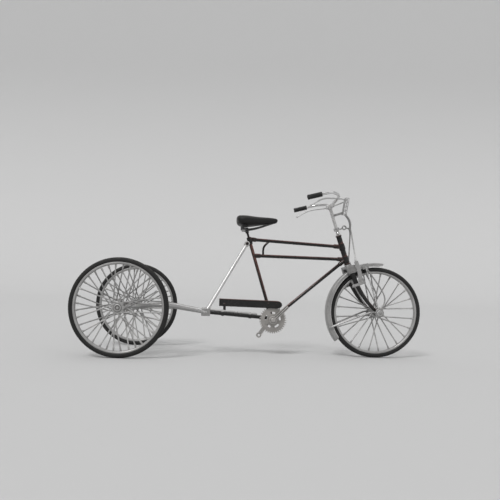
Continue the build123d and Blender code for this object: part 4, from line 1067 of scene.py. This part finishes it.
# rod guide: a grooved collar on the head, an eye ahead of it and a small bridge that the two rods pass
guideValues = dict(
    ring=(3.8, 0, 1.9), eye=(0.575, 1.15, 0.5), bridge=(46.85, 62.4), bridgeHalf=1.1,
    collar=((1.4, 0.76), (1.4, 1.2), (1.5, 1.36), (2.05, 1.36), (2.1, 1.26), (2.2, 1.26), (2.25, 1.36),
            (2.75, 1.36), (2.85, 1.2), (2.85, 0.76)))


# a turned collar, a spun eye and three blocks between them
def makeRodGuide():
    v = guideValues
    ring = onSteering(*v["ring"])
    bridge = np.array([v["bridge"][0], 0, v["bridge"][1]])
    end = across * v["bridgeHalf"]
    shells = [eyeRing(ring, *v["eye"], 28, 0.2),
              block(onSteering(1.0, 0, 1.75), onSteering(3.0, 0, 1.8), 0.5, 0.35, steerUp, 0.1),
              block(ring + [1.0, 0, -0.15], bridge + [0, 0, 0.1], 0.42, 0.3, upright, 0.1),
              block(bridge - end, bridge + end, 0.45, 0.4, upright, 0.1),
              turned(steerOrigin, steerUp, v["collar"], 28)]
    addPiece("rodGuide", "rod_guide", "silver", shells)


# saddle: sections along its length, wide and domed behind, narrow at the nose, with a turned-down skirt
saddleRows = (  # x from the post, half width, top, bottom
    (-5.0, 1.6, 2.0, 0.6), (-4.75, 4.2, 2.6, -0.5), (-4.1, 5.6, 2.95, -1.3), (-2.9, 6.45, 3.12, -1.85),
    (-1.4, 6.65, 3.18, -2.1), (0.4, 6.3, 3.12, -2.1), (2.2, 5.3, 2.98, -1.95), (4.0, 4.1, 2.85, -1.7),
    (6.0, 3.0, 2.74, -1.4), (8.4, 2.3, 2.66, -1.05), (11.0, 1.9, 2.54, -0.65), (13.2, 1.6, 2.34, -0.35),
    (14.5, 1.1, 2.05, 0.1), (15.0, 0.35, 1.6, 0.8))
saddleValues = dict(
    post=45.4, rise=3.7, postRadius=0.55, postFoot=35.7, rail=0.34, railRoot=2.2, railNose=(13.0, 0.8),
    railSag=(0.5, -0.4), rivets=((-3.6, -3.0, 2.98), (-3.9, 0.0, 3.0), (-3.6, 3.0, 2.98), (13.0, 0.0, 2.36)),
    coil=0.93, coilWire=0.22, coilTurns=4.2, coilAt=(-1.6, 4.2, 0.3), coilHeight=2.4)


# section: a squared-off circle between bottom and top, smoothed along x; the springs are helices
def makeSaddle():
    v = saddleValues
    post = onSeat(v["post"])
    foot = post[2] + v["rise"]
    rows, turn = smoothCurve(saddleRows, 5), fullTurn(40)
    wide, tall = squared(np.cos(turn), 0.72), squared(np.sin(turn), 0.8)
    x, half, top, low = (rows[:, k:k + 1] for k in range(4))
    z = foot + (top + low) / 2 + (top - low) / 2 * tall
    points = np.stack(np.broadcast_arrays(post[0] + x, half * wide, z), -1)
    skin = (points.reshape(-1, 3), tubeFaces(len(rows), len(turn)))
    addPiece("saddleTop", "saddle", "saddle", [skin], 70)
    shells = [turned(post, across, bothWays([(1.5, 0.8), (1.6, 0.95), (2.7, 0.95), (2.8, 0.7)]), 24),
              turned(post, seatUp, [(-1.6, 0.75), (-1.5, 0.85), (0.9, 0.85), (1.0, 0.75)], 24),
              block(post + [-1.3, -5.0, 0], post + [-1.3, 5.0, 0], 0.9, 0.35, upright, 0.15)]
    turn = np.linspace(0, 2 * np.pi * v["coilTurns"], 150)
    rise = turn / turn[-1] * v["coilHeight"]
    for sign in (-1, 1):
        middle = post + np.array(v["coilAt"]) * [1, sign, 1]
        coil = middle + np.stack([v["coil"] * np.cos(turn), v["coil"] * np.sin(turn), rise], -1)
        (nose, noseSide), (sagSide, sagRise) = v["railNose"], v["railSag"]
        start = post + [0, sign * v["railRoot"], 0]
        end = np.array([post[0] + nose, sign * noseSide, foot])
        bow = smoothCurve([start, start * 0.6 + end * 0.4 + np.array([0, sign * sagSide, sagRise]), end], 12)
        wires = ((coil, circle(10, v["coilWire"])), (bow, circle(12, v["rail"])))
        shells += [carried(path, outline, upright) for path, outline in wires]
    for x, y, rise in v["rivets"]:
        head = [(rise - 0.5, 0.3), (rise, 0.3), (rise + 0.06, 0.15)]
        shells.append(turned((post[0] + x, y, foot), upright, head, 12))
    addPiece("saddleSprings", "saddle_frame", "spring", shells)
    low, r = v["postFoot"], v["postRadius"]
    stick = [(low, r - 0.05), (low + 0.1, r), (v["post"] - 0.2, r), (v["post"], r - 0.1)]
    addPiece("seatPost", "seat_post", "black", [turned(onSeat(0), seatUp, stick, 20)])


makeBar()
makeStem()
makeBrake()
makeRodGuide()
makeSaddle()
print("bar, brake and saddle made")

# floor and backdrop: one sheet that is level under the model and curves up far behind it, in metres
stageValues = dict(front=-60.0, depth=1.2, bend=1.2, top=5.0, halfWidth=60.0, colour=0.57, rough=0.9,
                   shine=0.1)


# y and z go level, then round a quarter circle, then straight up; x is the width
def makeStage():
    v = stageValues
    turn = np.linspace(0, np.pi / 2, 20)
    depth, bend = v["depth"], v["bend"]
    y = np.concatenate([[v["front"], -1.0, 0.0], depth + bend * np.sin(turn), [depth + bend]])
    z = np.concatenate([[0.0, 0.0, 0.0], bend * (1 - np.cos(turn)), [v["top"]]])
    x = np.linspace(-v["halfWidth"], v["halfWidth"], 9)
    verts, faces = sheet(np.stack(np.broadcast_arrays(x[None, :], y[:, None], z[:, None]), -1))
    mesh = bpy.data.meshes.new("paleFloor")
    mesh.from_pydata(verts.tolist(), [], faces)
    mesh.shade_smooth()
    made = bpy.data.materials.new("paleFloor")
    made.use_nodes = True
    shader = made.node_tree.nodes["Principled BSDF"]
    shader.inputs["Base Color"].default_value = grey(v["colour"])
    shader.inputs["Roughness"].default_value = v["rough"]
    shader.inputs["Specular IOR Level"].default_value = v["shine"]
    mesh.materials.append(made)
    floor = bpy.data.objects.new("paleFloor", mesh)
    scene.collection.objects.link(floor)


# light: wide soft suns, so that floor and backdrop get the same light as the model, and a banded grey sky
lamps = (
    dict(name="keyLamp", toward=(-0.45, -0.75, 0.95), strength=1.5, spread=20),
    dict(name="fillLamp", toward=(0.9, -0.6, 0.55), strength=0.35, spread=50),
    dict(name="rimLamp", toward=(0.1, 0.7, 0.8), strength=0.35, spread=40),
)
skyRamp = ((0.0, 0.55), (0.22, 0.50), (0.40, 0.12), (0.60, 0.20), (0.80, 0.90), (1.0, 0.90))  # height, grey
skyShown = 0.58  # what the camera sees past the floor's edge


def makeLight():
    for row in lamps:
        data = bpy.data.lights.new(row["name"], "SUN")
        data.energy, data.angle = row["strength"], math.radians(row["spread"])
        lamp = bpy.data.objects.new(row["name"], data)
        back = unit(row["toward"])
        side = unit(np.cross(upright, back))
        up = np.cross(back, side)
        lamp.matrix_world = Matrix([(side[k], up[k], back[k], back[k]) for k in range(3)] + [(0, 0, 0, 1)])
        scene.collection.objects.link(lamp)
    world = bpy.data.worlds.new("studio")
    scene.world = world
    world.use_nodes = True
    tree = world.node_tree
    flow = Flow(tree)
    where = flow.node("ShaderNodeTexCoord", out="Generated")
    height = flow.node("ShaderNodeSeparateXYZ", {}, {0: where}, out="Z")
    stops = [(place, grey(value)) for place, value in skyRamp]
    sky = flow.node("ShaderNodeValToRGB", {"stops": stops}, {0: height})
    seen = flow.node("ShaderNodeLightPath", out="Is Camera Ray").blend(sky, grey(skyShown))
    tree.links.new(seen.socket, tree.nodes["Background"].inputs["Color"])


makeStage()
makeLight()
scene.view_settings.view_transform = "Standard"
print("stage and light ready")
